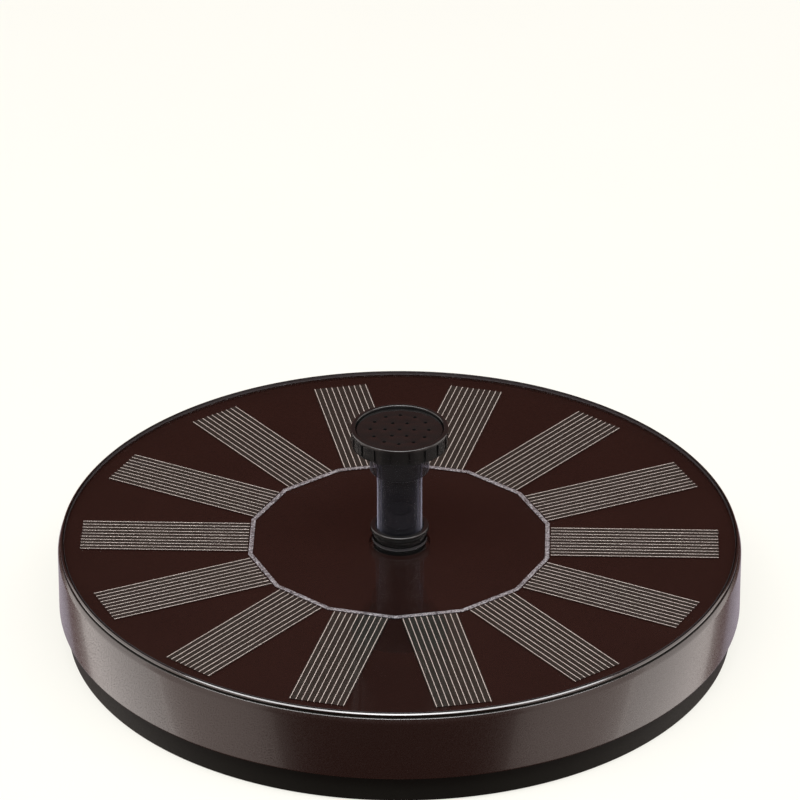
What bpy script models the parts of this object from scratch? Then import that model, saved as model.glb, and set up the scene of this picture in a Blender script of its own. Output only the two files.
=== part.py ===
"""Floating solar fountain: a round sealed float with a solar panel on top and a pump in the middle.

Units are metres and +Z is up. The origin is the middle of the flat underside.
The front of the object is towards -Y.
"""
import math

import bmesh
import bpy
from mathutils import Matrix, Vector

# ---------------------------------------------------------------- driving dimensions

# The float's disc-shaped casing.
CASING_RADIUS = 0.0800
CASING_HEIGHT = 0.0240
CASING_WALL = 0.0022
CASING_FLOOR = 0.0022
DECK_THICKNESS = 0.0015
LOWER_TIER_HEIGHT = 0.0067
LOWER_TIER_INSET = 0.0020
EDGE_CHAMFER = 0.0004

# The gap that two seated pieces keep, and the larger ones for loose or moving pieces.
SEAT_GAP = 0.0003
LOOSE_GAP = 0.0004
BEARING_GAP = 0.00025
ROTOR_GAP = 0.0005

# The upper casing's rim around the panel.
RIM_WIDTH = 0.0011
RIM_BEAD_SETBACK = 0.0006
RIM_BEAD_HEIGHT = 0.0011
RIM_SHOULDER = 0.0007

# The lower casing's upstand inside the upper one, and the seal in its groove.
UPSTAND_HEIGHT = 0.0043
UPSTAND_WALL = 0.0022
CASING_SEAL_SIZE = 0.0011
CASING_SEAL_HEIGHT = 0.0090

# Six screws from below.
SCREW_COUNT = 6
SCREW_EDGE_DISTANCE = 0.0140
SCREW_SHANK_RADIUS = 0.0012
SCREW_SHANK_LENGTH = 0.0098
SCREW_HEAD_RADIUS = 0.0028
SCREW_HEAD_HEIGHT = 0.0009
SCREW_BOSS_WALL = 0.0017
SCREW_CLEARANCE = 0.0005

# The foam ring that keeps the object afloat.
FOAM_HEIGHT = 0.0115
FOAM_CLEARANCE = 0.0008

# The solar panel: board, strips of cells, the line around the hub, and the clear cover.
PANEL_BOARD_THICKNESS = 0.0008
BOARD_HOLE_CLEARANCE = 0.0008
CELL_THICKNESS = 0.0002
PANEL_COVER_THICKNESS = 0.0007
CELL_COUNT = 14
HUB_APOTHEM = 0.0351
HUB_LINE_WIDTH = 0.0010
CELL_SPACING = 0.0030
CELL_RIM_MARGIN = 0.0040

# The pump.
PUMP_RADIUS = 0.0225
PUMP_WALL = 0.0025
PUMP_CAP_THICKNESS = 0.0031
PUMP_SKIRT_HEIGHT = 0.0016
PUMP_SEAL_WIDTH = 0.0007
PUMP_SEAL_HEIGHT = 0.0007
CHAMBER_HEIGHT = 0.0026
CHAMBER_CEILING = 0.0012
VOLUTE_SPACE = 0.0040
RISER_BORE = 0.0022
RISER_WALL = 0.0010
TUNNEL_HEIGHT = 0.0016
TUNNEL_FLOOR = 0.0008

# The impeller, its magnet and the shaft that they turn on.
IMPELLER_RADIUS = 0.0120
IMPELLER_DISC = 0.0006
IMPELLER_HUB_RADIUS = 0.0030
VANE_COUNT = 6
VANE_THICKNESS = 0.0010
VANE_HEIGHT = 0.0013
MAGNET_RADIUS = 0.0073
MAGNET_HEIGHT = 0.0036
SHAFT_RADIUS = 0.00075
BUSH_WALL = 0.0014
BUSH_SOCKET_WALL = 0.0008
BUSH_HEIGHT = 0.0010
BUSH_FLOOR = 0.00025
CAN_WALL = 0.0012
CAN_ROOF = 0.0010

# The stator and its driver board.
TOOTH_COUNT = 4
TOOTH_WIDTH = 0.0030
YOKE_WIDTH = 0.0012
COIL_WALL = 0.0008
COIL_LENGTH = 0.0018
DRIVER_BOARD_THICKNESS = 0.0006
DRIVER_BOARD_SPAN = math.radians(140.0)

# The cover under the impeller, held by lugs in the pump body's skirt.
CHAMBER_COVER_THICKNESS = 0.0011
CHAMBER_COVER_INLET = 0.0070
CHAMBER_COVER_ARM_WIDTH = 0.0014
LUG_COUNT = 3
LUG_GROOVE_WALL = 0.0016
LUG_REACH = 0.0014
LUG_HEIGHT = 0.0007
LUG_SPAN = math.radians(16.0)
LUG_SLOT_SPAN = math.radians(21.0)
LUG_TWIST = math.radians(30.0)

# The filter under the pump.
STRAINER_RECESS = 0.0004
STRAINER_PLATE = 0.0016
STRAINER_OVERHANG = 0.0011
STRAINER_SKIRT_WALL = 0.0014
STRAINER_SLOT_WIDTH = 0.0018
STRAINER_SLOT_COUNT = 12
STRAINER_LONG_SLOT_START = 0.0062
STRAINER_SHORT_SLOT_START = 0.0124
STRAINER_SLOT_MARGIN = 0.0016
SPONGE_THICKNESS = 0.0028
SPONGE_CLEARANCE = 0.0008

# The wall of the well that the pump stands in.
WELL_CLEARANCE = 0.0031
WELL_WALL = 0.0018
WELL_SEAL_HEIGHT = 0.0009

# The wiring from the panel to the pump.
LEAD_RADIUS = 0.0005
LEAD_SPACING = 0.0021
LEAD_HOLE_GAP = 0.0003
PLUG_RADIUS = 0.0021
PLUG_FLANGE_OVERHANG = 0.0008
PLUG_FLANGE_THICKNESS = 0.0007
JUNCTION_BOX_SIZE = Vector((0.0090, 0.0070, 0.0043))
JUNCTION_BOX_STUB_RADIUS = 0.0022
JUNCTION_BOX_STANDOFF = 0.0021
LEAD_DROP_SETBACK = 0.0015
LEAD_BEND = 0.0022
LEAD_END_LENGTH = 0.0020
LEAD_SPACE = 0.0066

# The nozzle: outlet spigot, collar, tube, socket and spray head.
TUBE_RADIUS = 0.00525
TUBE_WALL = 0.00085
TUBE_LENGTH = 0.0236
SPIGOT_LENGTH = 0.0064
SPIGOT_BORE = 0.0023
GASKET_THICKNESS = 0.0004
NOZZLE_GASKET_HEIGHT = 0.0020
NOZZLE_GASKET_RAISE = 0.0014
COLLAR_WALL = 0.00055
COLLAR_FLANGE_OVERHANG = 0.00075
COLLAR_FLANGE_THICKNESS = 0.0014
COLLAR_FLANGE_RAISE = 0.0016
SOCKET_WALL = 0.0014
SOCKET_LENGTH = 0.0086
SOCKET_CUP_HEIGHT = 0.0020
SOCKET_CUP_WALL = 0.0012
CUP_DEPTH = 0.0021
SOCKET_FLARE_HEIGHT = 0.0021
HEAD_RADIUS = 0.01135
HEAD_HEIGHT = 0.0041
HEAD_WALL = 0.00185
HEAD_LIP = 0.00105
HEAD_THREAD_HEIGHT = 0.0017
HEAD_LEDGE_HEIGHT = 0.0024
GROOVE_COUNT = 18
GROOVE_WIDTH = 0.0008
GROOVE_DEPTH = 0.0004
GROOVE_MARGIN = 0.0005
SPRAY_PLATE_THICKNESS = 0.0008
SPRAY_HOLE_RADIUS = 0.00045
SPRAY_RING_STEP = 0.0034
SPRAY_RINGS = 2
SPRAY_HOLES_PER_RING = 6

# How finely round shapes are divided.
CASING_SEGMENTS = 48
PUMP_SEGMENTS = 28
HEAD_SEGMENTS = 36
SMALL_SEGMENTS = 20
PIN_SEGMENTS = 10
HOLE_SEGMENTS = 6

# How far a cutting or joining shape runs past the face that it meets.
OVERRUN = 0.0004

# ---------------------------------------------------------------- sizes worked out from those

UPPER_WALL_INNER = CASING_RADIUS - CASING_WALL
UPPER_WALL_BOTTOM = LOWER_TIER_HEIGHT + SEAT_GAP
PANEL_RECESS = PANEL_BOARD_THICKNESS + CELL_THICKNESS + PANEL_COVER_THICKNESS + 3 * SEAT_GAP
PANEL_RECESS_RADIUS = CASING_RADIUS - RIM_WIDTH
DECK_TOP = CASING_HEIGHT - PANEL_RECESS
DECK_UNDERSIDE = DECK_TOP - DECK_THICKNESS

PANEL_RADIUS = PANEL_RECESS_RADIUS - SEAT_GAP
PANEL_BOARD_BOTTOM = DECK_TOP + SEAT_GAP
CELL_BOTTOM = PANEL_BOARD_BOTTOM + PANEL_BOARD_THICKNESS + SEAT_GAP
CELL_TOP = CELL_BOTTOM + CELL_THICKNESS
PANEL_COVER_BOTTOM = CELL_TOP + SEAT_GAP
CELL_HALF_ANGLE = math.pi / CELL_COUNT
CELL_INNER = HUB_APOTHEM + SEAT_GAP
CELL_OUTER = PANEL_RADIUS - CELL_RIM_MARGIN
CELL_WIDTH = 2 * CELL_INNER * math.tan(CELL_HALF_ANGLE) - CELL_SPACING

UPSTAND_OUTER = UPPER_WALL_INNER - LOOSE_GAP
UPSTAND_INNER = UPSTAND_OUTER - UPSTAND_WALL
UPSTAND_TOP = LOWER_TIER_HEIGHT + UPSTAND_HEIGHT
CASING_SEAL_OUTER = UPPER_WALL_INNER - SEAT_GAP
CASING_SEAL_INNER = CASING_SEAL_OUTER - CASING_SEAL_SIZE
CASING_GROOVE_RADIUS = CASING_SEAL_INNER - SEAT_GAP

SCREW_CIRCLE = CASING_RADIUS - SCREW_EDGE_DISTANCE
SCREW_PILOT_RADIUS = SCREW_SHANK_RADIUS + SEAT_GAP
SCREW_HOLE_RADIUS = SCREW_SHANK_RADIUS + SCREW_CLEARANCE
SCREW_BOSS_RADIUS = SCREW_PILOT_RADIUS + SCREW_BOSS_WALL
SCREW_BOSS_BOTTOM = CASING_FLOOR + SEAT_GAP
SCREW_HEAD_BOTTOM = SEAT_GAP
COUNTERBORE_RADIUS = SCREW_HEAD_RADIUS + LOOSE_GAP
COUNTERBORE_DEPTH = SCREW_HEAD_BOTTOM + SCREW_HEAD_HEIGHT + SEAT_GAP
SCREW_TIP = SCREW_HEAD_BOTTOM + SCREW_HEAD_HEIGHT + SCREW_SHANK_LENGTH
SCREW_PILOT_TOP = SCREW_TIP + SCREW_CLEARANCE

STRAINER_RADIUS = PUMP_RADIUS + STRAINER_OVERHANG
STRAINER_TOP = STRAINER_RECESS + STRAINER_PLATE
FLOOR_OPENING = STRAINER_RADIUS + LOOSE_GAP
SPONGE_BOTTOM = STRAINER_TOP + SEAT_GAP
SPONGE_TOP = SPONGE_BOTTOM + SPONGE_THICKNESS
SPONGE_RADIUS = STRAINER_RADIUS - STRAINER_SKIRT_WALL - SPONGE_CLEARANCE
WELL_INNER = PUMP_RADIUS + WELL_CLEARANCE
WELL_OUTER = WELL_INNER + WELL_WALL
WELL_TOP = DECK_UNDERSIDE - WELL_SEAL_HEIGHT - 2 * SEAT_GAP
FOAM_INNER = WELL_OUTER + LEAD_SPACE
FOAM_BOTTOM = CASING_FLOOR + FOAM_CLEARANCE
FOAM_TOP = FOAM_BOTTOM + FOAM_HEIGHT

CHAMBER_COVER_BOTTOM = SPONGE_TOP + ROTOR_GAP
CHAMBER_COVER_TOP = CHAMBER_COVER_BOTTOM + CHAMBER_COVER_THICKNESS
PUMP_CHAMBER_BOTTOM = CHAMBER_COVER_TOP + SEAT_GAP
PUMP_SKIRT_BOTTOM = PUMP_CHAMBER_BOTTOM - PUMP_SKIRT_HEIGHT
STRAINER_SKIRT_TOP = PUMP_SKIRT_BOTTOM - LOOSE_GAP
PUMP_CHAMBER_TOP = PUMP_CHAMBER_BOTTOM + CHAMBER_HEIGHT
STATOR_FLOOR = PUMP_CHAMBER_TOP + CHAMBER_CEILING
PUMP_CAP_TOP = DECK_UNDERSIDE - SEAT_GAP
PUMP_CAP_BOTTOM = PUMP_CAP_TOP - PUMP_CAP_THICKNESS
PUMP_BODY_TOP = PUMP_CAP_BOTTOM - SEAT_GAP
STATOR_POCKET_RADIUS = PUMP_RADIUS - PUMP_WALL
PUMP_SEAL_OUTER = PUMP_RADIUS - (PUMP_WALL - PUMP_SEAL_WIDTH) / 2
PUMP_SEAL_INNER = PUMP_SEAL_OUTER - PUMP_SEAL_WIDTH
CHAMBER_RADIUS = IMPELLER_RADIUS + VOLUTE_SPACE
RISER_OFFSET = CHAMBER_RADIUS + RISER_WALL
RISER_BOSS_RADIUS = RISER_BORE + RISER_WALL
LUG_GROOVE_RADIUS = PUMP_RADIUS - LUG_GROOVE_WALL
SKIRT_INNER = LUG_GROOVE_RADIUS - LUG_REACH
CHAMBER_COVER_RADIUS = SKIRT_INNER - SEAT_GAP
LUG_RADIUS = LUG_GROOVE_RADIUS - SEAT_GAP
LUG_GROOVE_FLOOR = CHAMBER_COVER_TOP - LUG_HEIGHT - SEAT_GAP
TUNNEL_BOTTOM = PUMP_CAP_BOTTOM + TUNNEL_FLOOR

ROTOR_BORE = SHAFT_RADIUS + BEARING_GAP
CAN_BORE = MAGNET_RADIUS + ROTOR_GAP
CAN_RADIUS = CAN_BORE + CAN_WALL
CAN_CEILING = PUMP_BODY_TOP - CAN_ROOF
BUSH_RADIUS = ROTOR_BORE + BUSH_WALL
UPPER_BUSH_TOP = CAN_CEILING - SEAT_GAP
UPPER_BUSH_BOTTOM = UPPER_BUSH_TOP - BUSH_HEIGHT
VANE_BOTTOM = PUMP_CHAMBER_BOTTOM + SEAT_GAP
IMPELLER_DISC_BOTTOM = VANE_BOTTOM + VANE_HEIGHT
IMPELLER_DISC_TOP = IMPELLER_DISC_BOTTOM + IMPELLER_DISC
IMPELLER_HUB_TOP = IMPELLER_DISC_TOP + ROTOR_GAP
MAGNET_BOTTOM = IMPELLER_HUB_TOP + SEAT_GAP
SHAFT_BOTTOM = CHAMBER_COVER_BOTTOM + SEAT_GAP

TOOTH_INNER = CAN_RADIUS + SEAT_GAP
YOKE_OUTER = RISER_OFFSET - RISER_BOSS_RADIUS - LOOSE_GAP
YOKE_INNER = YOKE_OUTER - YOKE_WIDTH
DRIVER_BOARD_TOP = PUMP_BODY_TOP - LOOSE_GAP
DRIVER_BOARD_BOTTOM = DRIVER_BOARD_TOP - DRIVER_BOARD_THICKNESS
COIL_BOTTOM = STATOR_FLOOR + SEAT_GAP
COIL_TOP = DRIVER_BOARD_BOTTOM - SEAT_GAP
STATOR_BOTTOM = COIL_BOTTOM + COIL_WALL + SEAT_GAP
STATOR_TOP = COIL_TOP - COIL_WALL - SEAT_GAP

LEAD_HEIGHT = PUMP_BODY_TOP - PUMP_SEAL_HEIGHT - 3 * SEAT_GAP - PLUG_RADIUS
PLUG_HOLE_RADIUS = PLUG_RADIUS + SEAT_GAP
JUNCTION_BOX_TOP = DECK_UNDERSIDE - SEAT_GAP
JUNCTION_BOX_BOTTOM = JUNCTION_BOX_TOP - JUNCTION_BOX_SIZE.z
JUNCTION_BOX_CENTRE = WELL_OUTER + JUNCTION_BOX_STANDOFF + JUNCTION_BOX_SIZE.y / 2
LEAD_DROP = JUNCTION_BOX_CENTRE - LEAD_DROP_SETBACK

TOWER_TOP = CASING_HEIGHT + 2 * SEAT_GAP
SPIGOT_TOP = TOWER_TOP + SPIGOT_LENGTH
TUBE_BOTTOM = TOWER_TOP + SEAT_GAP
TUBE_TOP = TUBE_BOTTOM + TUBE_LENGTH
TUBE_BORE = TUBE_RADIUS - TUBE_WALL
NOZZLE_GASKET_OUTER = TUBE_BORE - SEAT_GAP
NOZZLE_GASKET_INNER = NOZZLE_GASKET_OUTER - GASKET_THICKNESS
SPIGOT_RADIUS = NOZZLE_GASKET_INNER - SEAT_GAP
NOZZLE_GASKET_BOTTOM = TOWER_TOP + NOZZLE_GASKET_RAISE
COLLAR_BORE = TUBE_RADIUS + SEAT_GAP
COLLAR_RADIUS = COLLAR_BORE + COLLAR_WALL
COLLAR_BOTTOM = DECK_TOP + SEAT_GAP
COLLAR_FLANGE_BOTTOM = CASING_HEIGHT + COLLAR_FLANGE_RAISE
COLLAR_TOP = COLLAR_FLANGE_BOTTOM + COLLAR_FLANGE_THICKNESS
COVER_HOLE_RADIUS = COLLAR_RADIUS + SEAT_GAP
BOARD_HOLE_RADIUS = COVER_HOLE_RADIUS + BOARD_HOLE_CLEARANCE

HEAD_SKIRT_INNER = HEAD_RADIUS - HEAD_WALL
CUP_RADIUS = HEAD_SKIRT_INNER - SEAT_GAP
CUP_BORE = CUP_RADIUS - SOCKET_CUP_WALL
SOCKET_BORE = TUBE_RADIUS + SEAT_GAP
SOCKET_RADIUS = SOCKET_BORE + SOCKET_WALL
SOCKET_TOP = TUBE_TOP + CUP_DEPTH
SOCKET_BOTTOM = SOCKET_TOP - SOCKET_LENGTH
CUP_FLOOR = TUBE_TOP + SEAT_GAP
HEAD_BOTTOM = SOCKET_TOP - HEAD_THREAD_HEIGHT
HEAD_TOP = HEAD_BOTTOM + HEAD_HEIGHT
HEAD_LEDGE = HEAD_BOTTOM + HEAD_LEDGE_HEIGHT
SPRAY_PLATE_RADIUS = HEAD_RADIUS - HEAD_LIP - SEAT_GAP
SPRAY_PLATE_BOTTOM = HEAD_LEDGE + SEAT_GAP
CAP_GASKET_BOTTOM = SOCKET_TOP + SEAT_GAP
CAP_GASKET_TOP = SPRAY_PLATE_BOTTOM - SEAT_GAP


# ---------------------------------------------------------------- modelling helpers


def clear_scene():
    """Remove whatever the file already holds."""
    for item in list(bpy.data.objects):
        bpy.data.objects.remove(item, do_unlink=True)


def make_material(name, colour, roughness, metallic=0.0, alpha=1.0):
    """Make a plain material with a linear RGB colour."""
    material = bpy.data.materials.new(name)
    material.use_nodes = True
    shader = material.node_tree.nodes["Principled BSDF"]
    shader.inputs["Base Color"].default_value = (*colour, 1.0)
    shader.inputs["Roughness"].default_value = roughness
    shader.inputs["Metallic"].default_value = metallic
    shader.inputs["Alpha"].default_value = alpha
    return material


def make_object(name, shape, material=None):
    """Turn a bmesh of closed solids into an object with its faces pointing out."""
    bmesh.ops.recalc_face_normals(shape, faces=shape.faces)
    mesh = bpy.data.meshes.new(name)
    shape.to_mesh(mesh)
    shape.free()
    if material:
        mesh.materials.append(material)
    mesh.shade_smooth()
    mesh.set_sharp_from_angle(angle=math.radians(35.0))
    piece = bpy.data.objects.new(name, mesh)
    bpy.context.collection.objects.link(piece)
    return piece


def add_turned(shape, outline, segments, centre=(0.0, 0.0)):
    """Spin a section, listed as (radius, height) points in order, about a vertical axis."""
    points = [shape.verts.new((centre[0] + radius, centre[1], height)) for radius, height in outline]
    edges = []
    for start, end in zip(points, points[1:] + points[:1]):
        both_on_axis = start.co.x == centre[0] and end.co.x == centre[0]
        if not both_on_axis:
            edges.append(shape.edges.new((start, end)))
    bmesh.ops.spin(
        shape,
        geom=points + edges,
        cent=(*centre, 0.0),
        axis=(0.0, 0.0, 1.0),
        angle=2 * math.pi,
        steps=segments,
        use_merge=True,
    )
    bmesh.ops.remove_doubles(shape, verts=shape.verts, dist=1e-6)


def add_ring(shape, inner, outer, low, high, segments, centre=(0.0, 0.0)):
    """Add a flat-ended ring."""
    add_turned(shape, [(inner, low), (outer, low), (outer, high), (inner, high)], segments, centre)


def add_cylinder(shape, radius, low, high, segments, centre=(0.0, 0.0)):
    """Add an upright cylinder."""
    add_turned(shape, [(0.0, low), (radius, low), (radius, high), (0.0, high)], segments, centre)


def add_prism(shape, outline, low, high, angle=0.0):
    """Raise a flat outline of (x, y) points into a prism, turned about the vertical axis."""
    turn = Matrix.Rotation(angle, 3, "Z")
    base = [shape.verts.new(turn @ Vector((x, y, low))) for x, y in outline]
    floor = shape.faces.new(base)
    raised = bmesh.ops.extrude_face_region(shape, geom=[floor], use_keep_orig=True)
    top = [item for item in raised["geom"] if isinstance(item, bmesh.types.BMVert)]
    bmesh.ops.translate(shape, verts=top, vec=(0.0, 0.0, high - low))


def add_bar(shape, start, end, width, low, high, angle=0.0):
    """Add a radial bar from one radius to another."""
    half = width / 2
    add_prism(shape, [(start, -half), (end, -half), (end, half), (start, half)], low, high, angle)


def add_sector(shape, inner, outer, span, low, high, angle, steps):
    """Add a piece of a ring, centred on an angle."""
    turns = [(step / steps - 0.5) * span for step in range(steps + 1)]
    outline = [(outer * math.cos(turn), outer * math.sin(turn)) for turn in turns]
    outline += [(inner * math.cos(turn), inner * math.sin(turn)) for turn in reversed(turns)]
    add_prism(shape, outline, low, high, angle)


def around(count, start=0.0):
    """List evenly spaced angles around the vertical axis."""
    return [start + 2 * math.pi * index / count for index in range(count)]


def on_circle(radius, angle):
    """Give the (x, y) place at an angle on a circle."""
    return (radius * math.cos(angle), radius * math.sin(angle))


def combine(piece, tool, operation):
    """Join a hidden tool to a piece, or cut the piece with it."""
    tool.hide_render = True
    tool.display_type = "WIRE"
    modifier = piece.modifiers.new(operation.lower() + " " + tool.name, "BOOLEAN")
    modifier.operation = operation
    modifier.solver = "EXACT"
    modifier.object = tool


def cut(piece, name, shape):
    """Cut a piece with the solids in a bmesh."""
    combine(piece, make_object(name, shape), "DIFFERENCE")


def join(piece, name, shape):
    """Join the solids in a bmesh to a piece."""
    combine(piece, make_object(name, shape), "UNION")


def lay_along_y(shape, height):
    """Turn upright solids so that their axis runs along +Y at a height."""
    turn = Matrix.Translation((0.0, 0.0, height)) @ Matrix.Rotation(math.radians(-90.0), 4, "X")
    bmesh.ops.transform(shape, matrix=turn, verts=shape.verts)


# ---------------------------------------------------------------- casing


def make_upper_casing(material):
    """The top shell: side band, rim, recessed deck for the panel and six screw bosses."""
    bead_radius = CASING_RADIUS - RIM_BEAD_SETBACK
    bead_bottom = CASING_HEIGHT - RIM_BEAD_HEIGHT
    outline = [
        (UPPER_WALL_INNER, UPPER_WALL_BOTTOM),
        (CASING_RADIUS - EDGE_CHAMFER, UPPER_WALL_BOTTOM),
        (CASING_RADIUS, UPPER_WALL_BOTTOM + EDGE_CHAMFER),
        (CASING_RADIUS, bead_bottom - RIM_SHOULDER),
        (bead_radius, bead_bottom),
        (bead_radius, CASING_HEIGHT - EDGE_CHAMFER),
        (bead_radius - EDGE_CHAMFER / 2, CASING_HEIGHT),
        (PANEL_RECESS_RADIUS, CASING_HEIGHT),
        (PANEL_RECESS_RADIUS, DECK_TOP),
        (COLLAR_BORE, DECK_TOP),
        (COLLAR_BORE, DECK_UNDERSIDE),
        (UPPER_WALL_INNER, DECK_UNDERSIDE),
    ]
    shape = bmesh.new()
    add_turned(shape, outline, CASING_SEGMENTS)
    casing = make_object("upper_casing", shape, material)

    bosses = bmesh.new()
    holes = bmesh.new()
    deck_middle = (DECK_TOP + DECK_UNDERSIDE) / 2
    pilot_bottom = SCREW_BOSS_BOTTOM - OVERRUN
    for angle in around(SCREW_COUNT):
        centre = on_circle(SCREW_CIRCLE, angle)
        add_cylinder(bosses, SCREW_BOSS_RADIUS, SCREW_BOSS_BOTTOM, deck_middle, SMALL_SEGMENTS, centre)
        add_cylinder(holes, SCREW_PILOT_RADIUS, pilot_bottom, SCREW_PILOT_TOP, PIN_SEGMENTS, centre)
    add_cylinder(
        holes,
        JUNCTION_BOX_STUB_RADIUS + SEAT_GAP,
        DECK_UNDERSIDE - OVERRUN,
        DECK_TOP + OVERRUN,
        SMALL_SEGMENTS,
        (0.0, JUNCTION_BOX_CENTRE),
    )
    join(casing, "upper_casing_bosses", bosses)
    cut(casing, "upper_casing_holes", holes)


def make_lower_casing(material):
    """The bottom shell: floor, lower tier, upstand with seal groove, and the pump's well."""
    tier_radius = CASING_RADIUS - LOWER_TIER_INSET
    groove_bottom = CASING_SEAL_HEIGHT - CASING_SEAL_SIZE / 2 - SEAT_GAP
    groove_top = CASING_SEAL_HEIGHT + CASING_SEAL_SIZE / 2 + SEAT_GAP
    outline = [
        (FLOOR_OPENING, 0.0),
        (tier_radius - EDGE_CHAMFER, 0.0),
        (tier_radius, EDGE_CHAMFER),
        (tier_radius, LOWER_TIER_HEIGHT),
        (UPSTAND_OUTER, LOWER_TIER_HEIGHT),
        (UPSTAND_OUTER, groove_bottom),
        (CASING_GROOVE_RADIUS, groove_bottom),
        (CASING_GROOVE_RADIUS, groove_top),
        (UPSTAND_OUTER, groove_top),
        (UPSTAND_OUTER, UPSTAND_TOP),
        (UPSTAND_INNER, UPSTAND_TOP),
        (UPSTAND_INNER, CASING_FLOOR),
        (WELL_OUTER, CASING_FLOOR),
        (WELL_OUTER, WELL_TOP),
        (WELL_INNER, WELL_TOP),
        (WELL_INNER, CASING_FLOOR),
        (FLOOR_OPENING, CASING_FLOOR),
    ]
    shape = bmesh.new()
    add_turned(shape, outline, CASING_SEGMENTS)
    casing = make_object("lower_casing", shape, material)

    holes = bmesh.new()
    add_cylinder(holes, PLUG_HOLE_RADIUS, WELL_INNER - 2 * OVERRUN, WELL_OUTER + OVERRUN, SMALL_SEGMENTS)
    lay_along_y(holes, LEAD_HEIGHT)
    for angle in around(SCREW_COUNT):
        hole = [
            (0.0, -OVERRUN),
            (COUNTERBORE_RADIUS, -OVERRUN),
            (COUNTERBORE_RADIUS, COUNTERBORE_DEPTH),
            (SCREW_HOLE_RADIUS, COUNTERBORE_DEPTH),
            (SCREW_HOLE_RADIUS, CASING_FLOOR + OVERRUN),
            (0.0, CASING_FLOOR + OVERRUN),
        ]
        add_turned(holes, hole, PIN_SEGMENTS, on_circle(SCREW_CIRCLE, angle))
    cut(casing, "lower_casing_holes", holes)


def make_casing_seals(material):
    """The seal between the shells and the one between the well and the deck."""
    half = CASING_SEAL_SIZE / 2
    shape = bmesh.new()
    add_ring(
        shape,
        CASING_SEAL_INNER,
        CASING_SEAL_OUTER,
        CASING_SEAL_HEIGHT - half,
        CASING_SEAL_HEIGHT + half,
        CASING_SEGMENTS,
    )
    make_object("casing_seal", shape, material)

    shape = bmesh.new()
    seal_bottom = WELL_TOP + SEAT_GAP
    add_ring(shape, WELL_INNER, WELL_OUTER, seal_bottom, seal_bottom + WELL_SEAL_HEIGHT, PUMP_SEGMENTS)
    make_object("well_seal", shape, material)


def make_foam_float(material):
    """The closed-cell foam ring inside the casing, with a hole for each screw boss."""
    shape = bmesh.new()
    foam_outer = UPSTAND_INNER - LOOSE_GAP
    add_ring(shape, FOAM_INNER, foam_outer, FOAM_BOTTOM, FOAM_TOP, CASING_SEGMENTS)
    foam = make_object("foam_float", shape, material)

    holes = bmesh.new()
    for angle in around(SCREW_COUNT):
        centre = on_circle(SCREW_CIRCLE, angle)
        hole_radius = SCREW_BOSS_RADIUS + FOAM_CLEARANCE
        add_cylinder(holes, hole_radius, FOAM_BOTTOM - OVERRUN, FOAM_TOP + OVERRUN, PIN_SEGMENTS, centre)
    cut(foam, "foam_float_boss_holes", holes)


def make_casing_screws(material):
    """The six flat-headed screws that hold the shells together."""
    shape = bmesh.new()
    head_top = SCREW_HEAD_BOTTOM + SCREW_HEAD_HEIGHT
    outline = [
        (0.0, SCREW_HEAD_BOTTOM),
        (SCREW_HEAD_RADIUS, SCREW_HEAD_BOTTOM),
        (SCREW_HEAD_RADIUS, head_top),
        (SCREW_SHANK_RADIUS, head_top),
        (SCREW_SHANK_RADIUS, SCREW_TIP - SCREW_SHANK_RADIUS),
        (0.0, SCREW_TIP),
    ]
    add_turned(shape, outline, PIN_SEGMENTS)
    first = make_object("casing_screw_1", shape, material)
    for number, angle in enumerate(around(SCREW_COUNT), start=1):
        screw = first
        if number > 1:
            screw = bpy.data.objects.new("casing_screw_" + str(number), first.data)
            bpy.context.collection.objects.link(screw)
        screw.location = (*on_circle(SCREW_CIRCLE, angle), 0.0)
        screw.rotation_euler.z = angle


# ---------------------------------------------------------------- solar panel


def make_panel_board(material):
    """The round black board that carries the cells."""
    shape = bmesh.new()
    top = PANEL_BOARD_BOTTOM + PANEL_BOARD_THICKNESS
    add_ring(shape, BOARD_HOLE_RADIUS, PANEL_RADIUS, PANEL_BOARD_BOTTOM, top, CASING_SEGMENTS)
    make_object("panel_board", shape, material)


def make_solar_cells(material):
    """The radial strips of solar cells, one pointing along +X."""
    shape = bmesh.new()
    add_bar(shape, CELL_INNER, CELL_OUTER, CELL_WIDTH, CELL_BOTTOM, CELL_TOP)
    first = make_object("solar_cell_01", shape, material)
    for number, angle in enumerate(around(CELL_COUNT), start=1):
        cell = first
        if number > 1:
            cell = bpy.data.objects.new("solar_cell_" + str(number).zfill(2), first.data)
            bpy.context.collection.objects.link(cell)
        cell.rotation_euler.z = angle


def make_hub_ring(material):
    """The many-sided silver line around the plain hub, one side facing each strip."""
    shape = bmesh.new()
    corner_scale = 1 / math.cos(CELL_HALF_ANGLE)
    inner = (HUB_APOTHEM - HUB_LINE_WIDTH) * corner_scale
    outer = HUB_APOTHEM * corner_scale
    add_ring(shape, inner, outer, CELL_BOTTOM, CELL_TOP, CELL_COUNT)
    turn = Matrix.Rotation(CELL_HALF_ANGLE, 3, "Z")
    bmesh.ops.rotate(shape, cent=(0.0, 0.0, 0.0), matrix=turn, verts=shape.verts)
    make_object("hub_ring", shape, material)


def make_panel_cover(material):
    """The clear sheet over the cells, flush with the rim."""
    shape = bmesh.new()
    add_ring(shape, COVER_HOLE_RADIUS, PANEL_RADIUS, PANEL_COVER_BOTTOM, CASING_HEIGHT, CASING_SEGMENTS)
    make_object("panel_cover", shape, material)


# ---------------------------------------------------------------- wiring


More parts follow.
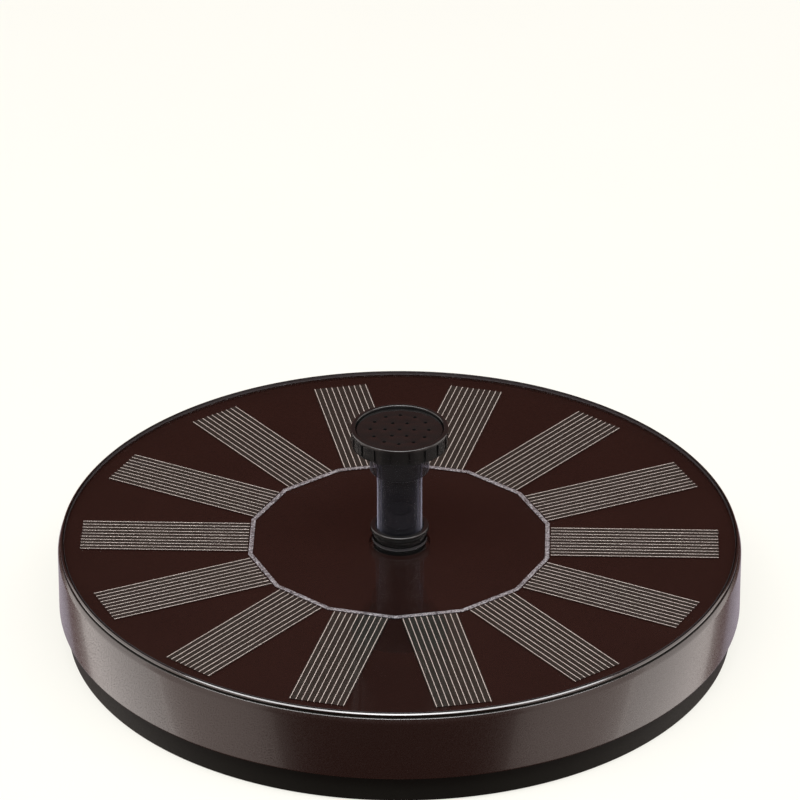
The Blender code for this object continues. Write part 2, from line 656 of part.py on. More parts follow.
def make_junction_box(material):
    """The potted box under the deck, with a stub through the deck to the board."""
    half_x = JUNCTION_BOX_SIZE.x / 2
    half_y = JUNCTION_BOX_SIZE.y / 2
    near = JUNCTION_BOX_CENTRE - half_y
    far = JUNCTION_BOX_CENTRE + half_y
    shape = bmesh.new()
    corners = [(-half_x, near), (half_x, near), (half_x, far), (-half_x, far)]
    add_prism(shape, corners, JUNCTION_BOX_BOTTOM, JUNCTION_BOX_TOP)
    box = make_object("junction_box", shape, material)

    stub = bmesh.new()
    add_cylinder(
        stub,
        JUNCTION_BOX_STUB_RADIUS,
        JUNCTION_BOX_TOP - OVERRUN,
        DECK_TOP,
        SMALL_SEGMENTS,
        (0.0, JUNCTION_BOX_CENTRE),
    )
    join(box, "junction_box_stub", stub)

    lead_holes = bmesh.new()
    for side in (-1, 1):
        add_cylinder(
            lead_holes,
            LEAD_RADIUS + LEAD_HOLE_GAP,
            JUNCTION_BOX_BOTTOM - OVERRUN,
            JUNCTION_BOX_BOTTOM + JUNCTION_BOX_SIZE.z / 2,
            PIN_SEGMENTS,
            (side * LEAD_SPACING / 2, LEAD_DROP),
        )
    cut(box, "junction_box_lead_holes", lead_holes)


def make_wire_plug(name, wall_inner, wall_outer, material):
    """A rubber plug with two lead holes, set in a round wall and flanged on its outer side."""
    inner_end = wall_inner - LOOSE_GAP
    flange_start = wall_outer + SEAT_GAP
    flange_end = flange_start + PLUG_FLANGE_THICKNESS
    flange_radius = PLUG_RADIUS + PLUG_FLANGE_OVERHANG
    outline = [
        (0.0, inner_end),
        (PLUG_RADIUS, inner_end),
        (PLUG_RADIUS, flange_start),
        (flange_radius, flange_start),
        (flange_radius, flange_end),
        (0.0, flange_end),
    ]
    shape = bmesh.new()
    add_turned(shape, outline, SMALL_SEGMENTS)
    lay_along_y(shape, LEAD_HEIGHT)
    plug = make_object(name, shape, material)

    holes = bmesh.new()
    for side in (-1, 1):
        centre = (side * LEAD_SPACING / 2, 0.0)
        hole_radius = LEAD_RADIUS + LEAD_HOLE_GAP
        add_cylinder(holes, hole_radius, inner_end - OVERRUN, flange_end + OVERRUN, PIN_SEGMENTS, centre)
    lay_along_y(holes, LEAD_HEIGHT)
    cut(plug, name + "_lead_holes", holes)


def smooth_route(route, steps_between):
    """Run a smooth curve through a list of places."""
    padded = [route[0], *route, route[-1]]
    places = []
    for before, start, end, after in zip(padded, padded[1:], padded[2:], padded[3:]):
        for step in range(steps_between):
            t = step / steps_between
            linear = (end - before) * t
            square = (2 * before - 5 * start + 4 * end - after) * t**2
            cubic = (3 * start - before - 3 * end + after) * t**3
            places.append((2 * start + linear + square + cubic) / 2)
    places.append(route[-1])
    return places


def make_lead(name, side, material):
    """One insulated lead, from the junction box through both plugs to the driver board."""
    x = side * LEAD_SPACING / 2
    route = [
        Vector((x, LEAD_DROP, JUNCTION_BOX_BOTTOM + SEAT_GAP)),
        Vector((x, LEAD_DROP, LEAD_HEIGHT + LEAD_BEND)),
        Vector((x, LEAD_DROP - 0.3 * LEAD_BEND, LEAD_HEIGHT + 0.3 * LEAD_BEND)),
        Vector((x, LEAD_DROP - LEAD_BEND, LEAD_HEIGHT)),
        Vector((x, WELL_INNER, LEAD_HEIGHT)),
        Vector((x, PUMP_RADIUS, LEAD_HEIGHT)),
        Vector((x, STATOR_POCKET_RADIUS - LEAD_END_LENGTH, LEAD_HEIGHT)),
    ]
    places = smooth_route(route, 3)
    curve = bpy.data.curves.new(name, "CURVE")
    curve.dimensions = "3D"
    curve.bevel_depth = LEAD_RADIUS
    curve.bevel_resolution = 2
    curve.use_fill_caps = True
    spline = curve.splines.new("POLY")
    spline.points.add(len(places) - 1)
    for point, place in zip(spline.points, places):
        point.co = (*place, 1.0)
    curve.materials.append(material)
    lead = bpy.data.objects.new(name, curve)
    bpy.context.collection.objects.link(lead)


# ---------------------------------------------------------------- pump


def make_pump_body(material):
    """The body: impeller chamber below, rotor can in the middle, stator pocket around it."""
    seal_groove_bottom = PUMP_BODY_TOP - PUMP_SEAL_HEIGHT - SEAT_GAP
    socket_outer = BUSH_RADIUS + SEAT_GAP + BUSH_SOCKET_WALL
    outline = [
        (PUMP_RADIUS, PUMP_SKIRT_BOTTOM),
        (PUMP_RADIUS, PUMP_BODY_TOP),
        (PUMP_SEAL_OUTER + SEAT_GAP, PUMP_BODY_TOP),
        (PUMP_SEAL_OUTER + SEAT_GAP, seal_groove_bottom),
        (PUMP_SEAL_INNER - SEAT_GAP, seal_groove_bottom),
        (PUMP_SEAL_INNER - SEAT_GAP, PUMP_BODY_TOP),
        (STATOR_POCKET_RADIUS, PUMP_BODY_TOP),
        (STATOR_POCKET_RADIUS, STATOR_FLOOR),
        (CAN_RADIUS, STATOR_FLOOR),
        (CAN_RADIUS, PUMP_BODY_TOP),
        (0.0, PUMP_BODY_TOP),
        (0.0, CAN_CEILING),
        (BUSH_RADIUS + SEAT_GAP, CAN_CEILING),
        (BUSH_RADIUS + SEAT_GAP, UPPER_BUSH_BOTTOM + SEAT_GAP),
        (socket_outer, UPPER_BUSH_BOTTOM + SEAT_GAP),
        (socket_outer, CAN_CEILING),
        (CAN_BORE, CAN_CEILING),
        (CAN_BORE, PUMP_CHAMBER_TOP),
        (CHAMBER_RADIUS, PUMP_CHAMBER_TOP),
        (CHAMBER_RADIUS, PUMP_CHAMBER_BOTTOM),
        (LUG_GROOVE_RADIUS, PUMP_CHAMBER_BOTTOM),
        (LUG_GROOVE_RADIUS, LUG_GROOVE_FLOOR),
        (SKIRT_INNER, LUG_GROOVE_FLOOR),
        (SKIRT_INNER, PUMP_SKIRT_BOTTOM),
    ]
    shape = bmesh.new()
    add_turned(shape, outline, PUMP_SEGMENTS)
    body = make_object("pump_body", shape, material)

    riser_place = (0.0, -RISER_OFFSET)
    boss = bmesh.new()
    boss_top = PUMP_BODY_TOP - SEAT_GAP
    add_cylinder(boss, RISER_BOSS_RADIUS, STATOR_FLOOR - OVERRUN, boss_top, SMALL_SEGMENTS, riser_place)
    join(body, "pump_body_riser_boss", boss)

    openings = bmesh.new()
    gland_start = STATOR_POCKET_RADIUS - OVERRUN
    add_cylinder(openings, PLUG_HOLE_RADIUS, gland_start, PUMP_RADIUS + OVERRUN, SMALL_SEGMENTS)
    lay_along_y(openings, LEAD_HEIGHT)
    riser_bottom = PUMP_CHAMBER_BOTTOM + SEAT_GAP + OVERRUN
    add_cylinder(openings, RISER_BORE, riser_bottom, PUMP_BODY_TOP + OVERRUN, SMALL_SEGMENTS, riser_place)
    for angle in around(LUG_COUNT, math.radians(90.0) + LUG_TWIST):
        add_sector(
            openings,
            SKIRT_INNER - OVERRUN,
            LUG_GROOVE_RADIUS,
            LUG_SLOT_SPAN,
            PUMP_SKIRT_BOTTOM - OVERRUN,
            LUG_GROOVE_FLOOR + OVERRUN,
            angle,
            4,
        )
    cut(body, "pump_body_openings", openings)


def make_pump_top_cap(material):
    """The cap: water tunnel to the middle, threaded tower through the deck, outlet spigot."""
    outline = [
        (0.0, PUMP_CAP_BOTTOM),
        (PUMP_RADIUS, PUMP_CAP_BOTTOM),
        (PUMP_RADIUS, PUMP_CAP_TOP),
        (TUBE_RADIUS, PUMP_CAP_TOP),
        (TUBE_RADIUS, TOWER_TOP),
        (SPIGOT_RADIUS, TOWER_TOP),
        (SPIGOT_RADIUS, SPIGOT_TOP),
        (SPIGOT_BORE, SPIGOT_TOP),
        (SPIGOT_BORE, TUNNEL_BOTTOM),
        (0.0, TUNNEL_BOTTOM),
    ]
    shape = bmesh.new()
    add_turned(shape, outline, PUMP_SEGMENTS)
    cap = make_object("pump_top_cap", shape, material)

    tunnel = bmesh.new()
    tunnel_top = TUNNEL_BOTTOM + TUNNEL_HEIGHT
    half = RISER_BORE - SEAT_GAP
    far = -RISER_OFFSET - half
    corners = [(-half, far), (half, far), (half, 0.0), (-half, 0.0)]
    add_prism(tunnel, corners, TUNNEL_BOTTOM, tunnel_top)
    cut(cap, "pump_top_cap_tunnel", tunnel)

    inlet = bmesh.new()
    add_cylinder(
        inlet,
        RISER_BORE,
        PUMP_CAP_BOTTOM - OVERRUN,
        (TUNNEL_BOTTOM + tunnel_top) / 2,
        SMALL_SEGMENTS,
        (0.0, -RISER_OFFSET),
    )
    cut(cap, "pump_top_cap_inlet", inlet)


def make_pump_seal(material):
    """The seal between the pump's body and its cap."""
    shape = bmesh.new()
    bottom = PUMP_BODY_TOP - PUMP_SEAL_HEIGHT
    add_ring(shape, PUMP_SEAL_INNER, PUMP_SEAL_OUTER, bottom, PUMP_BODY_TOP, PUMP_SEGMENTS)
    make_object("pump_top_seal", shape, material)


def make_stator(core_material, coil_material):
    """The iron core around the rotor can, with a coil on each of its teeth."""
    shape = bmesh.new()
    add_ring(shape, YOKE_INNER, YOKE_OUTER, STATOR_BOTTOM, STATOR_TOP, PUMP_SEGMENTS)
    core = make_object("stator_core", shape, core_material)
    teeth = bmesh.new()
    for angle in around(TOOTH_COUNT):
        yoke_middle = (YOKE_INNER + YOKE_OUTER) / 2
        add_bar(teeth, TOOTH_INNER, yoke_middle, TOOTH_WIDTH, STATOR_BOTTOM, STATOR_TOP, angle)
    join(core, "stator_core_teeth", teeth)

    hole_half = TOOTH_WIDTH / 2 + SEAT_GAP
    frame_half = hole_half + COIL_WALL
    coil_start = TOOTH_INNER + SEAT_GAP
    coil_end = coil_start + COIL_LENGTH
    coil_shape = bmesh.new()
    add_bar(coil_shape, coil_start, coil_end, 2 * frame_half, COIL_BOTTOM, COIL_TOP)
    hole_shape = bmesh.new()
    add_bar(
        hole_shape,
        coil_start - OVERRUN,
        coil_end + OVERRUN,
        2 * hole_half,
        COIL_BOTTOM + COIL_WALL,
        COIL_TOP - COIL_WALL,
    )
    first = make_object("coil_1", coil_shape, coil_material)
    first_hole = make_object("coil_hole_1", hole_shape)
    for number, angle in enumerate(around(TOOTH_COUNT), start=1):
        coil = first
        hole = first_hole
        if number > 1:
            coil = bpy.data.objects.new("coil_" + str(number), first.data)
            hole = bpy.data.objects.new("coil_hole_" + str(number), first_hole.data)
            bpy.context.collection.objects.link(coil)
            bpy.context.collection.objects.link(hole)
        coil.rotation_euler.z = angle
        hole.rotation_euler.z = angle
        combine(coil, hole, "DIFFERENCE")


def make_driver_board(material):
    """The small curved board that switches the coils."""
    shape = bmesh.new()
    add_sector(
        shape,
        TOOTH_INNER,
        STATOR_POCKET_RADIUS - LOOSE_GAP,
        DRIVER_BOARD_SPAN,
        DRIVER_BOARD_BOTTOM,
        DRIVER_BOARD_TOP,
        math.radians(90.0),
        10,
    )
    make_object("driver_board", shape, material)


def make_shaft(material):
    """The fixed ceramic shaft that the rotor turns on."""
    shape = bmesh.new()
    add_cylinder(shape, SHAFT_RADIUS, SHAFT_BOTTOM, UPPER_BUSH_TOP, PIN_SEGMENTS)
    make_object("impeller_shaft", shape, material)


def make_bushes(material):
    """The two rubber cups that hold the shaft's ends."""
    shape = bmesh.new()
    add_ring(shape, ROTOR_BORE, BUSH_RADIUS, UPPER_BUSH_BOTTOM, UPPER_BUSH_TOP, SMALL_SEGMENTS)
    make_object("upper_shaft_bush", shape, material)

    shape = bmesh.new()
    cup_bottom = SHAFT_BOTTOM - BEARING_GAP - BUSH_FLOOR
    outline = [
        (0.0, cup_bottom),
        (BUSH_RADIUS, cup_bottom),
        (BUSH_RADIUS, CHAMBER_COVER_TOP),
        (ROTOR_BORE, CHAMBER_COVER_TOP),
        (ROTOR_BORE, SHAFT_BOTTOM - BEARING_GAP),
        (0.0, SHAFT_BOTTOM - BEARING_GAP),
    ]
    add_turned(shape, outline, SMALL_SEGMENTS)
    make_object("lower_shaft_bush", shape, material)


def make_impeller(material):
    """The impeller: a hub and disc with straight vanes underneath."""
    outline = [
        (ROTOR_BORE, VANE_BOTTOM),
        (IMPELLER_HUB_RADIUS, VANE_BOTTOM),
        (IMPELLER_HUB_RADIUS, IMPELLER_DISC_BOTTOM),
        (IMPELLER_RADIUS, IMPELLER_DISC_BOTTOM),
        (IMPELLER_RADIUS, IMPELLER_DISC_TOP),
        (IMPELLER_HUB_RADIUS, IMPELLER_DISC_TOP),
        (IMPELLER_HUB_RADIUS, IMPELLER_HUB_TOP),
        (ROTOR_BORE, IMPELLER_HUB_TOP),
    ]
    shape = bmesh.new()
    add_turned(shape, outline, SMALL_SEGMENTS)
    impeller = make_object("impeller", shape, material)

    vanes = bmesh.new()
    vane_top = (IMPELLER_DISC_BOTTOM + IMPELLER_DISC_TOP) / 2
    for angle in around(VANE_COUNT):
        add_bar(
            vanes,
            IMPELLER_HUB_RADIUS - OVERRUN,
            IMPELLER_RADIUS - OVERRUN,
            VANE_THICKNESS,
            VANE_BOTTOM,
            vane_top,
            angle,
        )
    join(impeller, "impeller_vanes", vanes)


def make_rotor_magnet(material):
    """The ring magnet on top of the impeller."""
    shape = bmesh.new()
    add_ring(shape, ROTOR_BORE, MAGNET_RADIUS, MAGNET_BOTTOM, MAGNET_BOTTOM + MAGNET_HEIGHT, SMALL_SEGMENTS)
    make_object("rotor_magnet", shape, material)


def make_chamber_cover(material):
    """The twist-off cover under the impeller: inlet hole, bush holder on arms, locking lugs."""
    holder_bore = BUSH_RADIUS + SEAT_GAP
    holder_radius = holder_bore + CHAMBER_COVER_THICKNESS
    shape = bmesh.new()
    add_ring(shape, holder_bore, holder_radius, CHAMBER_COVER_BOTTOM, CHAMBER_COVER_TOP, SMALL_SEGMENTS)
    add_ring(
        shape,
        CHAMBER_COVER_INLET,
        CHAMBER_COVER_RADIUS,
        CHAMBER_COVER_BOTTOM,
        CHAMBER_COVER_TOP,
        PUMP_SEGMENTS,
    )
    cover = make_object("chamber_cover", shape, material)

    fittings = bmesh.new()
    for angle in around(LUG_COUNT, math.radians(90.0)):
        add_bar(
            fittings,
            holder_radius - OVERRUN,
            CHAMBER_COVER_INLET + OVERRUN,
            CHAMBER_COVER_ARM_WIDTH,
            CHAMBER_COVER_BOTTOM + SEAT_GAP,
            CHAMBER_COVER_TOP - SEAT_GAP,
            angle,
        )
        add_sector(
            fittings,
            CHAMBER_COVER_RADIUS - 2 * OVERRUN,
            LUG_RADIUS,
            LUG_SPAN,
            CHAMBER_COVER_TOP - LUG_HEIGHT,
            CHAMBER_COVER_TOP,
            angle,
            3,
        )
    join(cover, "chamber_cover_fittings", fittings)


# ---------------------------------------------------------------- filter


def make_filter_sponge(material):
    """The flat sponge that keeps grit out of the pump."""
    shape = bmesh.new()
    add_cylinder(shape, SPONGE_RADIUS, SPONGE_BOTTOM, SPONGE_TOP, SMALL_SEGMENTS)
    make_object("filter_sponge", shape, material)


def make_strainer_cover(material):
    """The slotted cover that pulls off the underside."""
    skirt_inner = STRAINER_RADIUS - STRAINER_SKIRT_WALL
    outline = [
        (0.0, STRAINER_RECESS),
        (STRAINER_RADIUS - EDGE_CHAMFER, STRAINER_RECESS),
        (STRAINER_RADIUS, STRAINER_RECESS + EDGE_CHAMFER),
        (STRAINER_RADIUS, STRAINER_SKIRT_TOP),
        (skirt_inner, STRAINER_SKIRT_TOP),
        (skirt_inner, STRAINER_TOP),
        (0.0, STRAINER_TOP),
    ]
    shape = bmesh.new()
    add_turned(shape, outline, PUMP_SEGMENTS)
    cover = make_object("strainer_cover", shape, material)

    slots = bmesh.new()
    slot_end = skirt_inner - STRAINER_SLOT_MARGIN
    low = STRAINER_RECESS - OVERRUN
    high = STRAINER_TOP + OVERRUN
    for angle in around(STRAINER_SLOT_COUNT):
        add_bar(slots, STRAINER_LONG_SLOT_START, slot_end, STRAINER_SLOT_WIDTH, low, high, angle)
    for angle in around(STRAINER_SLOT_COUNT, math.pi / STRAINER_SLOT_COUNT):
        add_bar(slots, STRAINER_SHORT_SLOT_START, slot_end, STRAINER_SLOT_WIDTH, low, high, angle)
    cut(cover, "strainer_cover_slots", slots)


# ---------------------------------------------------------------- nozzle


def make_outlet_collar(material):
    """The flanged nut that clamps the pump's tower to the deck and guides the nozzle tube."""
    outline = [
        (COLLAR_BORE, COLLAR_BOTTOM),
        (COLLAR_RADIUS, COLLAR_BOTTOM),
        (COLLAR_RADIUS, COLLAR_FLANGE_BOTTOM),
        (COLLAR_RADIUS + COLLAR_FLANGE_OVERHANG, COLLAR_FLANGE_BOTTOM),
        (COLLAR_RADIUS + COLLAR_FLANGE_OVERHANG, COLLAR_TOP),
        (COLLAR_BORE, COLLAR_TOP),
    ]
    shape = bmesh.new()
    add_turned(shape, outline, PUMP_SEGMENTS)
    make_object("outlet_collar", shape, material)


def make_nozzle_gasket(material):
    """The rubber sleeve between the spigot and the tube."""
    shape = bmesh.new()
    top = NOZZLE_GASKET_BOTTOM + NOZZLE_GASKET_HEIGHT
    add_ring(shape, NOZZLE_GASKET_INNER, NOZZLE_GASKET_OUTER, NOZZLE_GASKET_BOTTOM, top, SMALL_SEGMENTS)
    make_object("nozzle_gasket", shape, material)


def make_nozzle_tube(material):
    """The clear tube that pushes onto the spigot."""
    shape = bmesh.new()
    add_ring(shape, TUBE_BORE, TUBE_RADIUS, TUBE_BOTTOM, TUBE_TOP, SMALL_SEGMENTS)
    make_object("nozzle_tube", shape, material)


def make_head_socket(material):
    """The clear sleeve on the tube's top, flared into the threaded cup under the spray head."""
    outline = [
        (SOCKET_BORE, SOCKET_BOTTOM),
        (SOCKET_RADIUS, SOCKET_BOTTOM),
        (SOCKET_RADIUS, SOCKET_TOP - SOCKET_CUP_HEIGHT - SOCKET_FLARE_HEIGHT),
        (CUP_RADIUS, SOCKET_TOP - SOCKET_CUP_HEIGHT),
        (CUP_RADIUS, SOCKET_TOP),
        (CUP_BORE, SOCKET_TOP),
        (CUP_BORE, CUP_FLOOR + SOCKET_CUP_WALL / 2),
        (SOCKET_BORE, CUP_FLOOR),
    ]
    shape = bmesh.new()
    add_turned(shape, outline, SMALL_SEGMENTS)
    make_object("head_socket", shape, material)


def make_cap_gasket(material):
    """The flat washer between the cup and the spray plate."""
    shape = bmesh.new()
    add_ring(shape, CUP_BORE, CUP_RADIUS, CAP_GASKET_BOTTOM, CAP_GASKET_TOP, SMALL_SEGMENTS)
    make_object("cap_gasket", shape, material)


def make_spray_cap(material):
    """The ribbed ring that screws onto the cup."""
    outline = [
        (HEAD_SKIRT_INNER, HEAD_BOTTOM),
        (HEAD_RADIUS, HEAD_BOTTOM),
        (HEAD_RADIUS, HEAD_TOP - SEAT_GAP),
        (HEAD_RADIUS - SEAT_GAP, HEAD_TOP),
        (HEAD_RADIUS - HEAD_LIP, HEAD_TOP),
        (HEAD_RADIUS - HEAD_LIP, HEAD_LEDGE),
        (HEAD_SKIRT_INNER, HEAD_LEDGE),
    ]
    shape = bmesh.new()
    add_turned(shape, outline, HEAD_SEGMENTS)
    cap = make_object("spray_cap", shape, material)

    grooves = bmesh.new()
    low = HEAD_BOTTOM + GROOVE_MARGIN
    high = HEAD_TOP - SEAT_GAP - GROOVE_MARGIN
    for angle in around(GROOVE_COUNT):
        start = HEAD_RADIUS - GROOVE_DEPTH
        add_bar(grooves, start, HEAD_RADIUS + OVERRUN, GROOVE_WIDTH, low, high, angle)
    cut(cap, "spray_cap_grooves", grooves)


def make_spray_plate(material):
    """The plate of jets, with rings of holes around one in the middle."""
    shape = bmesh.new()
    top = SPRAY_PLATE_BOTTOM + SPRAY_PLATE_THICKNESS
    add_cylinder(shape, SPRAY_PLATE_RADIUS, SPRAY_PLATE_BOTTOM, top, HEAD_SEGMENTS)
    plate = make_object("spray_plate", shape, material)

    holes = bmesh.new()
    places = [(0.0, 0.0)]
    for ring in range(1, SPRAY_RINGS + 1):
        for angle in around(SPRAY_HOLES_PER_RING * ring):
            places.append(on_circle(SPRAY_RING_STEP * ring, angle))
    for place in places:
        add_cylinder(
            holes, SPRAY_HOLE_RADIUS, SPRAY_PLATE_BOTTOM - OVERRUN, top + OVERRUN, HOLE_SEGMENTS, place
        )
    cut(plate, "spray_plate_holes", holes)


# ---------------------------------------------------------------- the whole object

clear_scene()

casing_black = make_material("casing_black", (0.012, 0.011, 0.010), 0.28)
base_black = make_material("base_black", (0.010, 0.010, 0.010), 0.35)
inner_black = make_material("inner_black", (0.020, 0.020, 0.020), 0.45)
seal_rubber = make_material("seal_rubber", (0.015, 0.015, 0.016), 0.70)
foam_white = make_material("foam_white", (0.80, 0.80, 0.77), 0.90)
sponge_black = make_material("sponge_black", (0.020, 0.020, 0.020), 0.95)
steel = make_material("steel", (0.62, 0.62, 0.60), 0.30, metallic=1.0)
core_steel = make_material("core_steel", (0.33, 0.33, 0.34), 0.45, metallic=1.0)
copper = make_material("copper", (0.72, 0.33, 0.16), 0.32, metallic=1.0)
board_black = make_material("board_black", (0.016, 0.012, 0.009), 0.20)
board_green = make_material("board_green", (0.020, 0.120, 0.050), 0.40)
cell_brown = make_material("cell_brown", (0.050, 0.043, 0.030), 0.30)
hub_silver = make_material("hub_silver", (0.62, 0.60, 0.57), 0.35, metallic=1.0)
cover_clear = make_material("cover_clear", (0.90, 0.90, 0.90), 0.04, alpha=0.25)
tube_clear = make_material("tube_clear", (0.72, 0.74, 0.75), 0.06, alpha=0.40)
magnet_grey = make_material("magnet_grey", (0.060, 0.060, 0.065), 0.55)
impeller_white = make_material("impeller_white", (0.72, 0.72, 0.70), 0.40)
ceramic = make_material("ceramic", (0.85, 0.84, 0.80), 0.20)
lead_red = make_material("lead_red", (0.42, 0.020, 0.015), 0.50)
lead_black = make_material("lead_black", (0.012, 0.012, 0.012), 0.50)

make_upper_casing(casing_black)
make_lower_casing(base_black)
make_casing_seals(seal_rubber)
make_foam_float(foam_white)
make_casing_screws(steel)

make_panel_board(board_black)
make_solar_cells(cell_brown)
make_hub_ring(hub_silver)
make_panel_cover(cover_clear)

make_junction_box(inner_black)
make_wire_plug("well_grommet", WELL_INNER, WELL_OUTER, seal_rubber)
make_wire_plug("pump_gland", STATOR_POCKET_RADIUS, PUMP_RADIUS, seal_rubber)
make_lead("lead_positive", 1, lead_red)
make_lead("lead_negative", -1, lead_black)

make_pump_body(inner_black)
make_pump_top_cap(inner_black)
make_pump_seal(seal_rubber)
make_stator(core_steel, copper)
make_driver_board(board_green)
make_shaft(ceramic)
make_bushes(seal_rubber)
make_impeller(impeller_white)
make_rotor_magnet(magnet_grey)
make_chamber_cover(inner_black)

make_filter_sponge(sponge_black)
make_strainer_cover(base_black)

make_outlet_collar(casing_black)
make_nozzle_gasket(seal_rubber)
make_nozzle_tube(tube_clear)
make_head_socket(tube_clear)
make_cap_gasket(seal_rubber)
make_spray_cap(casing_black)
make_spray_plate(casing_black)
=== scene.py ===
"""Looks of a floating solar fountain pump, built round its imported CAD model.

Sizes are written in millimetres and turned to metres where a mesh or a pattern is made.
"""

import math
import bmesh
import bpy
from mathutils import Matrix, Vector


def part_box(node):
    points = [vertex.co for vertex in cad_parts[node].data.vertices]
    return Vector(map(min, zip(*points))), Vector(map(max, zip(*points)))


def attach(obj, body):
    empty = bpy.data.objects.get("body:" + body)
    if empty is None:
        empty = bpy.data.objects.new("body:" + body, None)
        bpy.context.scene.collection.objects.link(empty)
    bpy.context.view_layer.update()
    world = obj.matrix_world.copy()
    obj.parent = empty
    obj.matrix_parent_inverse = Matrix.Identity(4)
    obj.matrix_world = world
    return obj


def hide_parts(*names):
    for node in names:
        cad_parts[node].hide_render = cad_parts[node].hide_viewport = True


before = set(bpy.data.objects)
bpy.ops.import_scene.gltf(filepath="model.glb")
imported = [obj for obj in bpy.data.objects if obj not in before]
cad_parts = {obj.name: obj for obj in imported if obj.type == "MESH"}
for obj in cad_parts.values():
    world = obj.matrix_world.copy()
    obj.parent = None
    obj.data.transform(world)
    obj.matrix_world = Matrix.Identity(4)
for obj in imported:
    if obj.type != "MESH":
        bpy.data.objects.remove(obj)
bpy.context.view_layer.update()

scene = bpy.context.scene

# ---------------------------------------------------------------- camera, floor and light
# A small object on a plain pale table, seen from above through a long lens. Tall soft panels at the
# sides give the glossy black its grey cheeks, three overhead draw the bright line on the rim, and two
# low at the back cool its far edges.

MM = 0.001

CAMERA_ELEVATION = math.radians(29.3)
CAMERA_BEARING = math.radians(1.65)
CAMERA_DISTANCE = 1600 * MM
CAMERA_LENS = 307.5
SIGHT_ABOVE_DISC = 31.6 * MM
SIGHT_SIDE = 0.09 * MM
DISC_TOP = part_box("upper_casing")[1].z

camera_data = bpy.data.cameras.new("camera")
camera_data.lens = CAMERA_LENS
camera_data.sensor_width = 36
camera_data.clip_start = 0.05
camera = bpy.data.objects.new("camera", camera_data)
scene.collection.objects.link(camera)
camera.rotation_euler = (math.pi / 2 - CAMERA_ELEVATION, 0, CAMERA_BEARING)
sight = camera.rotation_euler.to_matrix() @ Vector((SIGHT_SIDE, SIGHT_ABOVE_DISC, CAMERA_DISTANCE))
camera.location = sight + Vector((0, 0, DISC_TOP))
scene.camera = camera
scene.view_settings.view_transform = "Standard"


def colour(code):
    """An sRGB hex colour as linear red, green and blue, with full alpha."""
    levels = [int(code[start:start + 2], 16) / 255 for start in (0, 2, 4)]
    linear = [level / 12.92 if level <= 0.04045 else ((level + 0.055) / 1.055) ** 2.4 for level in levels]
    return (*linear, 1.0)


def add(tree, kind, inputs=None, **settings):
    """Adds one shader node. Each input is a plain value, or the output of another node."""
    made = tree.nodes.new("ShaderNode" + kind)
    for name, value in settings.items():
        setattr(made, name, value)
    for name, value in (inputs or {}).items():
        if isinstance(value, bpy.types.NodeSocket):
            tree.links.new(value, made.inputs[name])
        else:
            made.inputs[name].default_value = value
    return made


def start_material(name, **plain):
    """A new material with its tree and Principled shader. plain sets the shader's own sockets."""
    material = bpy.data.materials.new(name)
    material.use_nodes = True
    shader = material.node_tree.nodes["Principled BSDF"]
    for socket, value in plain.items():
        shader.inputs[socket.replace("_", " ")].default_value = value
    return material, material.node_tree, shader


def two_tones(tree, level, deep, pale):
    """Goes from a deep to a pale colour as level, a number from another node, goes from 0 to 1."""
    tones = {0: level, 6: colour(deep), 7: colour(pale)}
    return add(tree, "Mix", tones, data_type="RGBA").outputs[2]


# A matt pale board, lit through from behind as a product table is, so that shadows on it stay faint.
floor_paint, tree, shader = start_material("floor_paint", Roughness=0.9, Emission_Strength=0.79)
place = add(tree, "TexCoord")
mottle = add(tree, "TexNoise", {"Vector": place.outputs["Object"], "Scale": 1 / (60 * MM), "Detail": 2.0})
paper = two_tones(tree, mottle.outputs[0], "4a4947", "4d4c4a")
tree.links.new(paper, shader.inputs["Base Color"])
shader.inputs["Emission Color"].default_value = colour("fffef6")

FLOOR_SIZE = 3000
FLOOR_GAP = 0.3
floor_shape = bmesh.new()
bmesh.ops.create_grid(floor_shape, x_segments=4, y_segments=4, size=FLOOR_SIZE * MM)
floor_mesh = bpy.data.meshes.new("floor")
floor_shape.to_mesh(floor_mesh)
floor_shape.free()
floor_mesh.materials.append(floor_paint)
floor = bpy.data.objects.new("floor", floor_mesh)
scene.collection.objects.link(floor)
floor.location.z = -FLOOR_GAP * MM
floor.visible_glossy = False
floor.visible_shadow = False

world = bpy.data.worlds.new("studio")
scene.world = world
world.use_nodes = True
sky_tree = world.node_tree
sky = sky_tree.nodes["Background"]
sky.inputs["Color"].default_value = colour("c9c2bd")
sky.inputs["Strength"].default_value = 0.30
room = add(sky_tree, "Background", {"Color": colour("9a5c50"), "Strength": 0.52})
paper_sky = add(sky_tree, "Background", {"Color": colour("fdfcf7"), "Strength": 1.0})
ray = add(sky_tree, "LightPath")
mirrored = add(
    sky_tree, "MixShader", {0: ray.outputs["Is Glossy Ray"], 1: sky.outputs[0], 2: room.outputs[0]}
)
seen = add(
    sky_tree, "MixShader", {0: ray.outputs["Is Camera Ray"], 1: mirrored.outputs[0], 2: paper_sky.outputs[0]}
)
sky_tree.links.new(seen.outputs[0], sky_tree.nodes["World Output"].inputs["Surface"])


def hang_light(name, bearing, height, distance, size, radiance, tint):
    """A soft panel that faces the object, metres away and metres in size. bearing is in degrees round
    from the front and height in degrees. radiance is how bright it looks, whatever its size."""
    data = bpy.data.lights.new(name, "AREA")
    data.shape = "RECTANGLE"
    data.size = size[0]
    data.size_y = size[1]
    data.energy = radiance * 4 * size[0] * size[1]
    data.color = colour(tint)[:3]
    lamp = bpy.data.objects.new(name, data)
    scene.collection.objects.link(lamp)
    turn_to = math.radians(bearing)
    rise = math.radians(height)
    level = math.cos(rise)
    direction = Vector((math.sin(turn_to) * level, -math.cos(turn_to) * level, math.sin(rise)))
    lamp.location = direction * distance
    lamp.rotation_euler = direction.to_track_quat("Z", "Y").to_euler()


